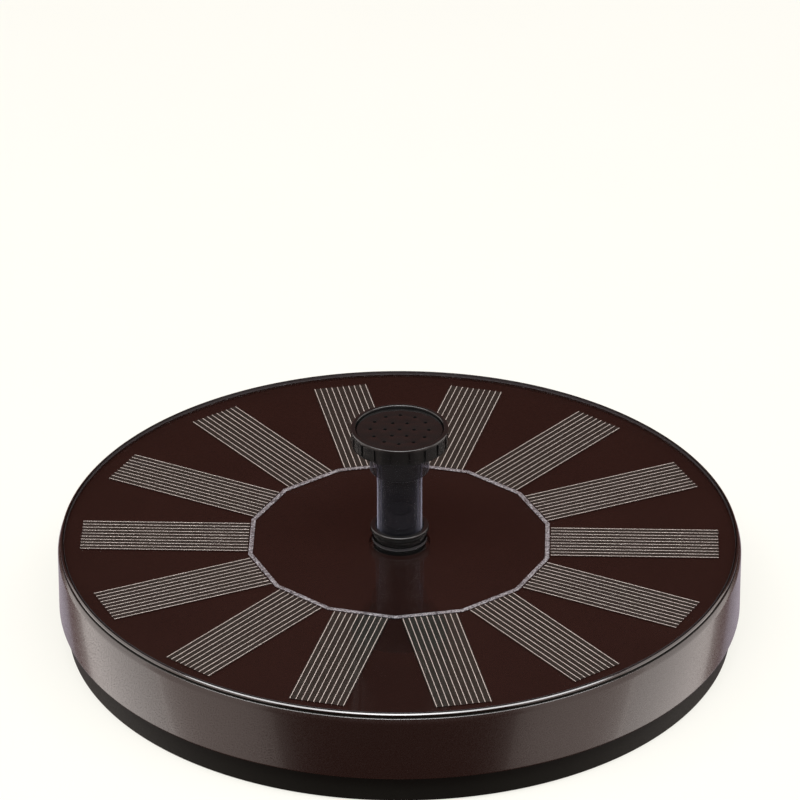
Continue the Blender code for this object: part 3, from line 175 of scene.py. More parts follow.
for side, mark in ((1, "right"), (-1, "left")):
    hang_light(f"key_{mark}", side * 106, 0, 1.2, (1.05, 2.6), 1.75, "fff9f4")
    hang_light(f"fill_{mark}", side * 62, 0, 1.2, (1.0, 2.6), 0.95, "fff0e8")
    hang_light(f"low_{mark}", side * 158, -32, 1.2, (0.5, 0.5), 0.5, "e6ecff")
    hang_light(f"above_{mark}", side * 45, 62, 1.1, (1.1, 0.45), 9.0, "ffffff")
hang_light("above_front", 0, 68, 1.1, (0.5, 0.4), 4.0, "ffffff")

# ---------------------------------------------------------------- black top shell
# The float's upper half: one piece of glossy black ABS, injection moulded, with a fine satin grain on
# its band, a shoulder and a rolled rim round the panel, a deck under it and six bosses for screws.


def turn(profile, steps=144, corner_steps=4, centre=(0.0, 0.0)):
    """Turns a closed profile about an upright axis into a closed shell.

    Each corner is (radius, height) or (radius, height, rounding). Corners on the axis close it.
    """
    shell = bmesh.new()
    corners = [shell.verts.new((corner[0] * MM, 0, corner[1] * MM)) for corner in profile]
    roundings = [corner[2] if len(corner) > 2 else 0 for corner in profile]
    shell.faces.new(corners)
    for rounding in sorted(set(roundings) - {0}):
        bmesh.ops.bevel(
            shell,
            geom=[vert for vert, own in zip(corners, roundings) if own == rounding],
            offset=rounding * MM,
            offset_type="OFFSET",
            affect="VERTICES",
            segments=corner_steps,
            profile=0.5,
            clamp_overlap=True,
            material=-1,
        )
    bmesh.ops.delete(shell, geom=shell.faces[:], context="FACES_ONLY")
    on_axis = [edge for edge in shell.edges if all(abs(vert.co.x) < 1e-7 for vert in edge.verts)]
    bmesh.ops.delete(shell, geom=on_axis, context="EDGES")
    bmesh.ops.spin(
        shell,
        geom=shell.verts[:] + shell.edges[:],
        cent=(0, 0, 0),
        axis=(0, 0, 1),
        angle=2 * math.pi,
        steps=steps,
        use_merge=True,
    )
    bmesh.ops.remove_doubles(shell, verts=shell.verts[:], dist=1e-7)
    bmesh.ops.recalc_face_normals(shell, faces=shell.faces[:])
    bmesh.ops.translate(shell, verts=shell.verts[:], vec=(centre[0] * MM, centre[1] * MM, 0))
    return shell


def circle_outline(shape, radius, centre=(0.0, 0.0), segments=24):
    """Draws a circle on the flat, as the rim of a plate or the edge of a hole in it."""
    bmesh.ops.create_circle(
        shape,
        cap_ends=False,
        radius=radius * MM,
        segments=segments,
        matrix=Matrix.Translation((centre[0] * MM, centre[1] * MM, 0)),
    )


def fill_plate(shape, low, high, edge=0.0):
    """Fills the outlines drawn on the flat, gives the plate its thickness and breaks its sharp edges."""
    bmesh.ops.triangle_fill(shape, use_beauty=True, use_dissolve=False, edges=shape.edges[:])
    bmesh.ops.translate(shape, verts=shape.verts[:], vec=(0, 0, low * MM))
    grown = bmesh.ops.extrude_face_region(shape, geom=shape.faces[:])
    upper = [part for part in grown["geom"] if isinstance(part, bmesh.types.BMVert)]
    bmesh.ops.translate(shape, verts=upper, vec=(0, 0, (high - low) * MM))
    bmesh.ops.recalc_face_normals(shape, faces=shape.faces[:])
    if edge:
        bmesh.ops.bevel(
            shape,
            geom=[part for part in shape.edges if part.calc_face_angle(0) > math.radians(50)],
            offset=edge * MM,
            offset_type="OFFSET",
            affect="EDGES",
            segments=2,
            profile=0.5,
            clamp_overlap=True,
            material=-1,
        )
    return shape


def ring_places(count, radius):
    """Places spaced evenly round a circle, as (x, y)."""
    angles = [2 * math.pi * index / count for index in range(count)]
    return [(radius * math.cos(angle), radius * math.sin(angle)) for angle in angles]


def gather(shells):
    """Puts finished shells together in one bmesh."""
    together = bmesh.new()
    for shell in shells:
        carrier = bpy.data.meshes.new("carrier")
        shell.to_mesh(carrier)
        shell.free()
        together.from_mesh(carrier)
        bpy.data.meshes.remove(carrier)
    return together


def make_piece(name, shape, body, materials, stands_for):
    """Makes the finished piece, smooth where it is round and crisp at its corners, on its CAD body."""
    mesh = bpy.data.meshes.new(name)
    shape.to_mesh(mesh)
    shape.free()
    mesh.shade_smooth()
    mesh.set_sharp_from_angle(angle=math.radians(33))
    for material in materials:
        mesh.materials.append(material)
    made = bpy.data.objects.new(name, mesh)
    scene.collection.objects.link(made)
    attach(made, body)
    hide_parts(*stands_for)
    return made


def moulded(name, deep, pale, patch, grain, roughness, depth, **plain):
    """A moulded material: two close colours that drift over a patch, and a grain left by the mould's
    steel, which changes the gloss and stands up by depth. Sizes are in millimetres."""
    material, tree, shader = start_material(name, **plain)
    place = add(tree, "TexCoord")
    spot = place.outputs["Object"]
    drift = add(tree, "TexNoise", {"Vector": spot, "Scale": 1 / (patch * MM), "Detail": 3.0})
    tone = two_tones(tree, drift.outputs[0], deep, pale)
    fine = add(tree, "TexNoise", {"Vector": spot, "Scale": 1 / (grain * MM), "Detail": 4.0})
    low, high = roughness
    gloss = add(
        tree,
        "MapRange",
        {"Value": fine.outputs[0], "From Min": 0.3, "From Max": 0.7, "To Min": low, "To Max": high},
    )
    bump = add(tree, "Bump", {"Strength": 0.6, "Distance": depth * MM, "Height": fine.outputs[0]})
    tree.links.new(tone, shader.inputs["Base Color"])
    tree.links.new(gloss.outputs[0], shader.inputs["Roughness"])
    tree.links.new(bump.outputs[0], shader.inputs["Normal"])
    return material


CASING_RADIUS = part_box("upper_casing")[1].x / MM
CASING_TOP = DISC_TOP / MM
SHELL_INNER = 77.8
SHELL_BOTTOM = 7.0
RECESS_RADIUS = 78.9
DECK_LOW = 19.9
DECK_TOP = 21.4
COLLAR_BORE = 5.55
LIP_LOW = 23.45
LIP_FOOT_RADIUS = 79.12
LIP_FOOT = 22.95
LIP_RADIUS = 79.4
LIP_SLOPE = 0.27
LIP_INNER = 79.08
SHOULDER_LOW = 21.8
SHOULDER_TOP = 22.8
SHOULDER_RADIUS = 79.55
WALL_OVERLAP = 0.4
LEAD_PLACE = (0.0, 33.0)
LEAD_HOLE = 2.5
BOSS_RADIUS = 3.2
BOSS_BORE = 1.5
SCREW_CIRCLE = 66.0
SCREW_COUNT = 6
BOSS_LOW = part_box("upper_casing")[0].z / MM

# Glossy black ABS: the satin grain of the mould is about a third of a millimetre and only microns deep.
glossy_abs = moulded(
    "glossy_black_abs", "0c0706", "120a08", 30, 0.34, (0.20, 0.34), 0.006, IOR=1.53, Coat_Weight=0.15,
    Coat_Roughness=0.08,
)

# The rim's lip comes from a polished insert in the mould, so it has hardly any grain.
polished_abs = moulded(
    "polished_black_abs", "090707", "0e0b0a", 30, 0.2, (0.10, 0.16), 0.001, IOR=1.53, Specular_IOR_Level=0.7
)

# Satin ABS: drier, with a coarser grain and little shine. Laid on the groove under the rim's lip, its
# dullness is painted shade, which draws the black line of shadow there.
satin_abs_and_painted_shade = moulded(
    "satin_black_abs_and_painted_shade", "0a0a08", "10100d", 24, 0.45, (0.5, 0.65), 0.02, IOR=1.53, Specular_IOR_Level=0.07
)

wall = turn(
    [
        (SHELL_INNER, SHELL_BOTTOM),
        (CASING_RADIUS, SHELL_BOTTOM, 0.45),
        (CASING_RADIUS, SHOULDER_LOW, 0.35),
        (SHOULDER_RADIUS, SHOULDER_TOP, 0.12),
        (LIP_FOOT_RADIUS, LIP_FOOT),
        (LIP_FOOT_RADIUS, LIP_LOW),
        (LIP_RADIUS, LIP_LOW),
        (LIP_RADIUS, CASING_TOP - LIP_SLOPE, 0.06),
        (LIP_INNER, CASING_TOP, 0.05),
        (RECESS_RADIUS, CASING_TOP, 0.05),
        (RECESS_RADIUS, DECK_LOW + WALL_OVERLAP),
        (SHELL_INNER, DECK_LOW + WALL_OVERLAP),
    ],
    steps=288,
)
# The lip takes the polished ABS. The groove under it takes the dull satin ABS as painted shade, for the
# black line of shadow under the rim.
for face in wall.faces:
    middle = face.calc_center_median() / MM
    if middle.z > LIP_LOW:
        face.material_index = 1
    elif middle.z > SHOULDER_TOP + 0.05:
        face.material_index = 2
deck = bmesh.new()
circle_outline(deck, RECESS_RADIUS - 0.02, segments=144)
circle_outline(deck, COLLAR_BORE, segments=72)
circle_outline(deck, LEAD_HOLE, LEAD_PLACE)
fill_plate(deck, DECK_LOW, DECK_TOP)
bosses = [
    turn(
        [
            (BOSS_BORE, BOSS_LOW, 0.2),
            (BOSS_RADIUS, BOSS_LOW, 0.2),
            (BOSS_RADIUS, DECK_LOW + 0.3),
            (BOSS_BORE, DECK_LOW + 0.3),
        ],
        steps=24,
        centre=place_on_ring,
    )
    for place_on_ring in ring_places(SCREW_COUNT, SCREW_CIRCLE)
]
make_piece(
    "black_top_shell",
    gather([wall, deck, *bosses]),
    "float",
    [glossy_abs, polished_abs, satin_abs_and_painted_shade],
    ["upper_casing"],
)

# ---------------------------------------------------------------- black bottom shell
# The lower half, in the same ABS with a coarser, drier grain: a flat floor with six counterbored screw
# holes, a narrower tier that shows under the band, an upstand for the seal and a well for the pump.

TIER_RADIUS = 78.0
TIER_TOP = 6.7
FLOOR_THICKNESS = 2.2
FLOOR_OPENING = 24.0
WELL_INNER = 25.6
WELL_OUTER = 27.4
WELL_TOP = 18.4
UPSTAND_INNER = 75.2
UPSTAND_OUTER = 77.4
UPSTAND_TOP = 11.0
SEAL_GROOVE = (8.15, 9.85)
SEAL_GROOVE_RADIUS = 76.1
COUNTERBORE = 3.2
COUNTERBORE_DEPTH = 1.5
SCREW_HOLE = 1.7
RIM_JOIN = 76.6

rim = turn(
    [
        (RIM_JOIN, 0),
        (TIER_RADIUS, 0, 0.5),
        (TIER_RADIUS, TIER_TOP, 0.2),
        (UPSTAND_OUTER, TIER_TOP),
        (UPSTAND_OUTER, SEAL_GROOVE[0]),
        (SEAL_GROOVE_RADIUS, SEAL_GROOVE[0]),
        (SEAL_GROOVE_RADIUS, SEAL_GROOVE[1]),
        (UPSTAND_OUTER, SEAL_GROOVE[1]),
        (UPSTAND_OUTER, UPSTAND_TOP, 0.25),
        (UPSTAND_INNER, UPSTAND_TOP, 0.25),
        (UPSTAND_INNER, FLOOR_THICKNESS),
        (RIM_JOIN, FLOOR_THICKNESS),
    ],
    steps=288,
)
inner_rim = turn(
    [
        (FLOOR_OPENING, 0, 0.35),
        (WELL_OUTER, 0),
        (WELL_OUTER, WELL_TOP, 0.25),
        (WELL_INNER, WELL_TOP, 0.25),
        (WELL_INNER, FLOOR_THICKNESS, 0.3),
        (FLOOR_OPENING, FLOOR_THICKNESS, 0.2),
    ]
)
plate = bmesh.new()
circle_outline(plate, RIM_JOIN, segments=288)
circle_outline(plate, WELL_OUTER, segments=144)
for place_on_ring in ring_places(SCREW_COUNT, SCREW_CIRCLE):
    circle_outline(plate, COUNTERBORE, place_on_ring, segments=36)
fill_plate(plate, 0, FLOOR_THICKNESS)
seats = [
    turn(
        [
            (SCREW_HOLE, COUNTERBORE_DEPTH, 0.15),
            (COUNTERBORE, COUNTERBORE_DEPTH),
            (COUNTERBORE, FLOOR_THICKNESS),
            (SCREW_HOLE, FLOOR_THICKNESS),
        ],
        steps=36,
        centre=place_on_ring,
    )
    for place_on_ring in ring_places(SCREW_COUNT, SCREW_CIRCLE)
]
make_piece(
    "black_bottom_shell",
    gather([rim, inner_rim, plate, *seats]),
    "float",
    [satin_abs_and_painted_shade],
    ["lower_casing"],
)

# ---------------------------------------------------------------- seals, foam and screws
# Black EPDM rubber rings, pressed and cut; a white closed-cell foam ring that floats the whole; and six
# stainless pan-head screws with cross recesses, driven up into the bosses from below.


def smooth_copy(name, node, body, material):
    """Takes a workings piece's CAD shape as it is, with its seams merged and its round faces smooth."""
    shape = bmesh.new()
    shape.from_mesh(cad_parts[node].data)
    bmesh.ops.remove_doubles(shape, verts=shape.verts[:], dist=1e-6)
    bmesh.ops.recalc_face_normals(shape, faces=shape.faces[:])
    return make_piece(name, shape, body, [material], [node])


def clear_skin(name, tint, patch, haze, depth, haze_and_edge_highlight=None):
    """A clear sheet or thin wall that light passes straight through, tinted, with a mirror on its face.
    It sends back a twenty-fifth of the light that meets it squarely, and up to a quarter at a slant.
    haze_and_edge_highlight is a matt colour laid on where one looks along the wall: partly the haze of a
    little cloudy wall, partly a painted highlight in place of the lamps' reflection in its edges."""
    material = bpy.data.materials.new(name)
    material.use_nodes = True
    tree = material.node_tree
    tree.nodes.remove(tree.nodes["Principled BSDF"])
    place = add(tree, "TexCoord")
    waves = add(
        tree, "TexNoise", {"Vector": place.outputs["Object"], "Scale": 1 / (patch * MM), "Detail": 2.0}
    )
    ripple = add(tree, "Bump", {"Strength": 0.2, "Distance": depth * MM, "Height": waves.outputs[0]})
    gloss = add(tree, "MapRange", {"Value": waves.outputs[0], "To Min": haze[0], "To Max": haze[1]})
    mirror = add(tree, "BsdfAnisotropic", {"Roughness": gloss.outputs[0], "Normal": ripple.outputs[0]})
    see_through = add(tree, "BsdfTransparent", {"Color": colour(tint)})
    slant = add(tree, "LayerWeight", {"Blend": 0.5, "Normal": ripple.outputs[0]})
    steep = add(tree, "Math", {0: slant.outputs["Facing"], 1: 5.0}, operation="POWER")
    share = add(tree, "MapRange", {"Value": steep.outputs[0], "To Min": 0.04, "To Max": 0.25})
    body = see_through
    # Painted highlight, partly real haze: a matt layer that grows where one looks along the wall, standing
    # in for the lamps' reflection in its edges.
    if haze_and_edge_highlight:
        along = add(tree, "Math", {0: slant.outputs["Facing"], 1: 5.0}, operation="POWER")
        edge_highlight_share = add(tree, "MapRange", {"Value": along.outputs[0], "To Min": 0.008, "To Max": 0.85})
        haze_and_highlight_layer = add(tree, "BsdfDiffuse", {"Color": colour(haze_and_edge_highlight)})
        body = add(
            tree, "MixShader", {0: edge_highlight_share.outputs[0], 1: see_through.outputs[0], 2: haze_and_highlight_layer.outputs[0]}
        )
    skin = add(tree, "MixShader", {0: share.outputs[0], 1: body.outputs[0], 2: mirror.outputs[0]})
    tree.links.new(skin.outputs[0], tree.nodes["Material Output"].inputs["Surface"])
    return material


def ring_piece(name, node, body, material, rounding, steps=144):
    """Turns a plain ring with rounded corners in the place of a CAD ring; its bore is measured on it."""
    low, high = (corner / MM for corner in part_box(node))
    bore = min(math.hypot(vert.co.x, vert.co.y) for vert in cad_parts[node].data.vertices) / MM
    profile = [
        (bore, low.z, rounding),
        (high.x, low.z, rounding),
        (high.x, high.z, rounding),
        (bore, high.z, rounding),
    ]
    return make_piece(name, turn(profile, steps), body, [material], [node])


# EPDM rubber: a soft matt black with a faint dusty bloom.
rubber = moulded("epdm_rubber", "141414", "232221", 6, 0.3, (0.62, 0.82), 0.03, IOR=1.50)

ring_piece("casing_ring_seal", "casing_seal", "float", rubber, 0.35, 288)
ring_piece("well_ring_seal", "well_seal", "float", rubber, 0.25)

# Closed-cell foam: blown bubbles under a millimetre across, cut through at its faces.
float_foam, tree, shader = start_material("white_float_foam", Roughness=0.95, IOR=1.45)
place = add(tree, "TexCoord")
cells = add(tree, "TexVoronoi", {"Vector": place.outputs["Object"], "Scale": 1 / (0.9 * MM)})
foam_tone = two_tones(tree, cells.outputs["Distance"], "f1efe9", "c9c6be")
foam_bump = add(tree, "Bump", {"Strength": 0.8, "Distance": 0.2 * MM, "Height": cells.outputs["Distance"]})
tree.links.new(foam_tone, shader.inputs["Base Color"])
tree.links.new(foam_bump.outputs[0], shader.inputs["Normal"])
smooth_copy("white_foam_ring", "foam_float", "float", float_foam)

# Stainless steel wire, cold headed: fine turning marks round the head.
steel, tree, shader = start_material("headed_stainless", Metallic=1.0)
place = add(tree, "TexCoord")
marks = add(tree, "TexNoise", {"Vector": place.outputs["Object"], "Scale": 1 / (0.4 * MM), "Detail": 3.0})
steel_tone = two_tones(tree, marks.outputs[0], "8f9092", "c4c5c6")
steel_gloss = add(tree, "MapRange", {"Value": marks.outputs[0], "To Min": 0.22, "To Max": 0.46})
tree.links.new(steel_tone, shader.inputs["Base Color"])
tree.links.new(steel_gloss.outputs[0], shader.inputs["Roughness"])

HEAD_RADIUS = 2.8
HEAD_LOW = 0.3
HEAD_TOP = 1.2
RECESS_REACH = 1.5
RECESS_HALF_WIDTH = 0.32
RECESS_DEPTH = 0.6
HEAD_SEAM = HEAD_LOW + RECESS_DEPTH - 0.1
SHANK_RADIUS = 1.2
SHANK_TOP = 11.0
POINT_LENGTH = 0.8
POINT_RADIUS = 0.4
for index, (x, y) in enumerate(ring_places(SCREW_COUNT, SCREW_CIRCLE), 1):
    head = bmesh.new()
    circle_outline(head, HEAD_RADIUS, segments=36)
    cross = []
    for quarter in range(4):
        turned = Matrix.Rotation(quarter * math.pi / 2, 3, "Z")
        for across, along in (
            (RECESS_HALF_WIDTH, -RECESS_HALF_WIDTH),
            (RECESS_REACH, -RECESS_HALF_WIDTH),
            (RECESS_REACH, RECESS_HALF_WIDTH),
        ):
            cross.append(head.verts.new(turned @ Vector((across * MM, along * MM, 0))))
    for one, other in zip(cross, cross[1:] + cross[:1]):
        head.edges.new((one, other))
    fill_plate(head, HEAD_LOW, HEAD_LOW + RECESS_DEPTH, edge=0.14)
    shank = turn(
        [
            (0, HEAD_SEAM),
            (HEAD_RADIUS - 0.2, HEAD_SEAM),
            (HEAD_RADIUS, HEAD_SEAM),
            (HEAD_RADIUS, HEAD_TOP),
            (SHANK_RADIUS, HEAD_TOP, 0.1),
            (SHANK_RADIUS, SHANK_TOP - POINT_LENGTH),
            (POINT_RADIUS, SHANK_TOP),
            (0, SHANK_TOP),
        ],
        steps=36,
    )
    screw = gather([head, shank])
    bmesh.ops.translate(screw, verts=screw.verts[:], vec=(x * MM, y * MM, 0))
    make_piece(f"pan_head_screw_{index}", screw, "float", [steel], [f"casing_screw_{index}"])

# ---------------------------------------------------------------- solar panel
# A round laminate: a dark brown-black board, fourteen strips of cells that run out like spokes, a
# glittering silver line round the hub, and a clear glossy cover over all of it, flush in the rim.

BOARD_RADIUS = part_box("panel_board")[1].x / MM
BOARD_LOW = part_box("panel_board")[0].z / MM
BOARD_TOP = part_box("panel_board")[1].z / MM
BOARD_HOLE = 7.2
CELL_COUNT = 14
CELL_INNER = 35.4
CELL_OUTER = 74.6
CELL_WIDTH = 13.16
CELL_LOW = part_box("solar_cell_01")[0].z / MM
CELL_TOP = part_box("solar_cell_01")[1].z / MM
GRID_LINES = 10
GRID_SPAN = 12.5
GRID_WIDTH = 0.165
GRID_HEIGHT = 0.03
GRID_ROOT = 0.02
FILM_THICKNESS = 0.06

# Screen-printed board lacquer: brown-black with a soft cloudiness.
board_lacquer = moulded(
    "brown_black_board", "0b0403", "130806", 22, 0.8, (0.5, 0.6), 0.004, Specular_IOR_Level=0.05
)

board = turn(
    [
        (BOARD_HOLE, BOARD_LOW),
        (BOARD_RADIUS, BOARD_LOW, 0.1),
        (BOARD_RADIUS, BOARD_TOP, 0.1),
        (BOARD_HOLE, BOARD_TOP),
    ],
    steps=192,
)
make_piece("panel_back_board", board, "float", [board_lacquer], ["panel_board"])

# Thin-film cell: brown glass with a fine slanted hatch from its laser scribing. The real hatch is a few
# hundredths of a millimetre apart, and it is drawn at a third of a millimetre so that it shows.
HATCH_PITCH = 0.36
WAVE_PERIOD = 2 * math.pi / 20
cell_film, tree, shader = start_material("brown_cell_film", Specular_IOR_Level=0.08)
spot = add(tree, "UVMap")
slant = add(
    tree,
    "Mapping",
    {"Vector": spot.outputs[0], "Rotation": (0, 0, math.radians(38))},
)
hatch = add(
    tree,
    "TexWave",
    {
        "Vector": slant.outputs[0],
        "Scale": WAVE_PERIOD / (HATCH_PITCH * MM),
        "Distortion": 1.2,
        "Detail": 2.0,
        "Detail Scale": 2.0,
    },
    bands_direction="X",
)
grains = add(tree, "TexNoise", {"Vector": spot.outputs[0], "Scale": 1 / (1.6 * MM), "Detail": 5.0})
film_mix = add(tree, "MapRange", {"Value": grains.outputs[0], "From Min": 0.3, "From Max": 0.7})
film = two_tones(tree, film_mix.outputs[0], "0b0b0a", "151513")
lines = add(
    tree, "MapRange", {"Value": hatch.outputs[0], "From Min": 0.55, "From Max": 0.95, "To Max": 0.55}
)
scribed = add(
    tree,
    "Mix",
    {0: lines.outputs[0], 6: film, 7: colour("2a2a26")},
    data_type="RGBA",
)
tree.links.new(scribed.outputs[2], shader.inputs["Base Color"])
film_gloss = add(tree, "MapRange", {"Value": grains.outputs[0], "To Min": 0.4, "To Max": 0.6})
tree.links.new(film_gloss.outputs[0], shader.inputs["Roughness"])

# Printed silver grid lines: pale, dry and slightly uneven, as a screen leaves the paste.
grid_silver, tree, shader = start_material("printed_silver_line", Metallic=0.35)
spot = add(tree, "UVMap")
paste = add(tree, "TexNoise", {"Vector": spot.outputs[0], "Scale": 1 / (0.5 * MM), "Detail": 3.0})
paste_tone = two_tones(tree, paste.outputs[0], "8a827d", "b0a6a0")
paste_gloss = add(tree, "MapRange", {"Value": paste.outputs[0], "To Min": 0.35, "To Max": 0.6})
tree.links.new(paste_tone, shader.inputs["Base Color"])
tree.links.new(paste_gloss.outputs[0], shader.inputs["Roughness"])


def add_bar(shape, inner, outer, middle, width, low, high, edge):
    """Adds a bar that runs outwards along X, with its edges broken, and returns its faces."""
    size = Matrix.Diagonal(((outer - inner) * MM, width * MM, (high - low) * MM, 1))
    centre = Matrix.Translation(((inner + outer) / 2 * MM, middle * MM, (low + high) / 2 * MM))
    made = bmesh.ops.create_cube(shape, size=1, matrix=centre @ size)
    edges = {part for vert in made["verts"] for part in vert.link_edges}
    bevelled = bmesh.ops.bevel(
        shape,
        geom=list(edges),
        offset=edge * MM,
        offset_type="OFFSET",
        affect="EDGES",
        segments=1,
        profile=0.5,
        clamp_overlap=True,
        material=-1,
    )
    return {face for vert in bevelled["verts"] for face in vert.link_faces}


film_top = CELL_LOW + FILM_THICKNESS
for index in range(CELL_COUNT):
    strip = bmesh.new()
    add_bar(strip, CELL_INNER, CELL_OUTER, 0, CELL_WIDTH, CELL_LOW, film_top, 0.02)
    for line in range(GRID_LINES):
        middle = GRID_SPAN * (line / (GRID_LINES - 1) - 0.5)
        line_faces = add_bar(
            strip,
            CELL_INNER,
            CELL_OUTER,
            middle,
            GRID_WIDTH,
            CELL_LOW + GRID_ROOT,
            film_top + GRID_HEIGHT,
            0.01,
        )
        for face in line_faces:
            face.material_index = 1
    flat = strip.loops.layers.uv.new("flat")
    for face in strip.faces:
        for loop in face.loops:
            loop[flat].uv = (loop.vert.co.x, loop.vert.co.y)
    spoke = Matrix.Rotation(2 * math.pi * index / CELL_COUNT, 4, "Z")
    bmesh.ops.transform(strip, matrix=spoke, verts=strip.verts[:])
    node = f"solar_cell_{index + 1:02d}"
    make_piece(
        f"cell_strip_{index + 1:02d}", strip, "float", [cell_film, grid_silver], [node]
    )

# Glitter print: flakes of aluminium in a clear ink. The real ones are a tenth of a millimetre across,
# and they are drawn three times as coarse so that they show.
glitter, tree, shader = start_material("silver_glitter_ink", Metallic=0.85)
place = add(tree, "TexCoord")
flakes = add(tree, "TexVoronoi", {"Vector": place.outputs["Object"], "Scale": 1 / (0.3 * MM)})
flake_level = add(tree, "SeparateColor", {0: flakes.outputs["Color"]})
flake_tone = two_tones(tree, flake_level.outputs[0], "4a4a4e", "b9b9be")
flake_gloss = add(tree, "MapRange", {"Value": flake_level.outputs[1], "To Min": 0.3, "To Max": 0.7})
flake_bump = add(tree, "Bump", {"Strength": 0.9, "Distance": 0.06 * MM, "Height": flake_level.outputs[2]})
tree.links.new(flake_tone, shader.inputs["Base Color"])
tree.links.new(flake_gloss.outputs[0], shader.inputs["Roughness"])
tree.links.new(flake_bump.outputs[0], shader.inputs["Normal"])

HUB_APOTHEM = 35.1
HUB_WIDTH = 1.0
half_side = math.pi / CELL_COUNT
hub = bmesh.new()
for apothem in (HUB_APOTHEM, HUB_APOTHEM - HUB_WIDTH):
    circle_outline(hub, apothem / math.cos(half_side), segments=CELL_COUNT)
fill_plate(hub, CELL_LOW, CELL_TOP, edge=0.04)
make_piece("silver_hub_line", hub, "float", [glitter], ["hub_ring"])

# Cast clear cover: nearly mirror smooth, with a very slight waviness in what it reflects.
clear_cover = clear_skin("clear_glossy_cover", "ffffff", 14, (0.02, 0.06), 0.02)
cover = ring_piece("clear_cover_sheet", "panel_cover", "float", clear_cover, 0.05, 192)

# Its two edges are sawn and left matt.
sawn_edge = moulded("sawn_acrylic_edge", "141315", "1c1b1e", 5, 0.3, (0.55, 0.7), 0.004, IOR=1.49)
cover.data.materials.append(sawn_edge)
for face in cover.data.polygons:
    if abs(face.normal.z) < 0.95:
        face.material_index = 1

# ---------------------------------------------------------------- wiring
# A small potted black box under the deck, two silicone leads, and the rubber plugs where the leads
# pass through the well's wall and the pump's wall. The plugs are moulded; the leads push into them.

inner_abs = moulded("workings_black_abs", "1b1b1b", "262524", 12, 0.4, (0.38, 0.52), 0.02, IOR=1.53)
lead_red = moulded("red_silicone_lead", "8e1612", "a8211a", 3, 0.2, (0.45, 0.6), 0.01, IOR=1.41)
lead_black = moulded("black_silicone_lead", "121212", "1c1c1c", 3, 0.2, (0.45, 0.6), 0.01, IOR=1.41)

for name, node, material, finish in (
    ("potted_junction_box", "junction_box", inner_abs, "inner_black"),
    ("red_lead", "lead_positive", lead_red, "lead_red"),
    ("black_lead", "lead_negative", lead_black, "lead_black"),
    ("well_wall_plug", "well_grommet", rubber, "seal_rubber"),
    ("pump_wall_plug", "pump_gland", rubber, "seal_rubber"),
):
    smooth_copy(name, node, "float", material)

# ---------------------------------------------------------------- pump
# A small brushless pump: black ABS body and cap with a rubber ring between them, a laminated core with
# four copper windings, a green driver board, and a ceramic shaft for a ferrite rotor and white impeller.

# Stamped silicon-steel sheets, stacked flat: dark edges every half millimetre.
laminations, tree, shader = start_material("stacked_core_sheets", Metallic=0.9)
place = add(tree, "TexCoord")
sheets = add(
    tree,
    "TexWave",
    {"Vector": place.outputs["Object"], "Scale": WAVE_PERIOD / (0.5 * MM), "Distortion": 0.3},
    bands_direction="Z",
)
sheet_tone = two_tones(tree, sheets.outputs[0], "3a3a3c", "8c8d90")
sheet_gloss = add(tree, "MapRange", {"Value": sheets.outputs[0], "To Min": 0.55, "To Max": 0.35})
tree.links.new(sheet_tone, shader.inputs["Base Color"])
tree.links.new(sheet_gloss.outputs[0], shader.inputs["Roughness"])

# Enamelled copper wire, a quarter of a millimetre thick, wound round each tooth.
windings, tree, shader = start_material(
    "enamelled_copper", Metallic=1.0, Coat_Weight=0.5, Coat_Roughness=0.15
)
place = add(tree, "TexCoord")
wires = add(
    tree,
    "TexWave",
    {"Vector": place.outputs["Object"], "Scale": WAVE_PERIOD / (0.25 * MM)},
    wave_type="RINGS",
    rings_direction="Z",
)
# The tone follows the wire's ridges: dark down between the turns, which is painted shade, and pale on the
# crowns.
wire_groove_shade_tone = two_tones(tree, wires.outputs[0], "6e2f14", "c9743d")
wire_bump = add(tree, "Bump", {"Strength": 0.7, "Distance": 0.1 * MM, "Height": wires.outputs[0]})
wire_gloss = add(tree, "MapRange", {"Value": wires.outputs[0], "To Min": 0.45, "To Max": 0.28})
tree.links.new(wire_groove_shade_tone, shader.inputs["Base Color"])
tree.links.new(wire_bump.outputs[0], shader.inputs["Normal"])
tree.links.new(wire_gloss.outputs[0], shader.inputs["Roughness"])

board_green = moulded("green_solder_mask", "0f4a2b", "176338", 2.5, 0.5, (0.3, 0.45), 0.02, IOR=1.5)
ceramic = moulded("ground_ceramic", "dcd7cb", "efebe2", 2, 0.15, (0.2, 0.32), 0.004, IOR=1.7)
ferrite = moulded("pressed_ferrite", "2b2b2e", "424246", 3, 0.25, (0.5, 0.7), 0.02, IOR=2.2)
acetal = moulded("white_acetal", "dedbd3", "ebe9e3", 5, 0.4, (0.35, 0.5), 0.01, IOR=1.48)

for name, node, body, material, finish in (
    ("pump_housing", "pump_body", "float", inner_abs, "inner_black"),
    ("pump_cap_and_tower", "pump_top_cap", "float", inner_abs, "inner_black"),
    ("pump_ring_seal", "pump_top_seal", "float", rubber, "seal_rubber"),
    ("laminated_core", "stator_core", "float", laminations, "core_steel"),
    ("winding_1", "coil_1", "float", windings, "copper"),
    ("winding_2", "coil_2", "float", windings, "copper"),
    ("winding_3", "coil_3", "float", windings, "copper"),
    ("winding_4", "coil_4", "float", windings, "copper"),
    ("curved_driver_board", "driver_board", "float", board_green, "board_green"),
    ("rotor_shaft", "impeller_shaft", "float", ceramic, "ceramic"),
    ("upper_rubber_bush", "upper_shaft_bush", "float", rubber, "seal_rubber"),
    ("vaned_impeller", "impeller", "impeller", acetal, "impeller_white"),
    ("ferrite_rotor", "rotor_magnet", "impeller", ferrite, "magnet_grey"),
    ("twist_off_chamber_cover", "chamber_cover", "chamber_cover", inner_abs, "inner_black"),
    ("lower_rubber_bush", "lower_shaft_bush", "chamber_cover", rubber, "seal_rubber"),
):
    smooth_copy(name, node, body, material)

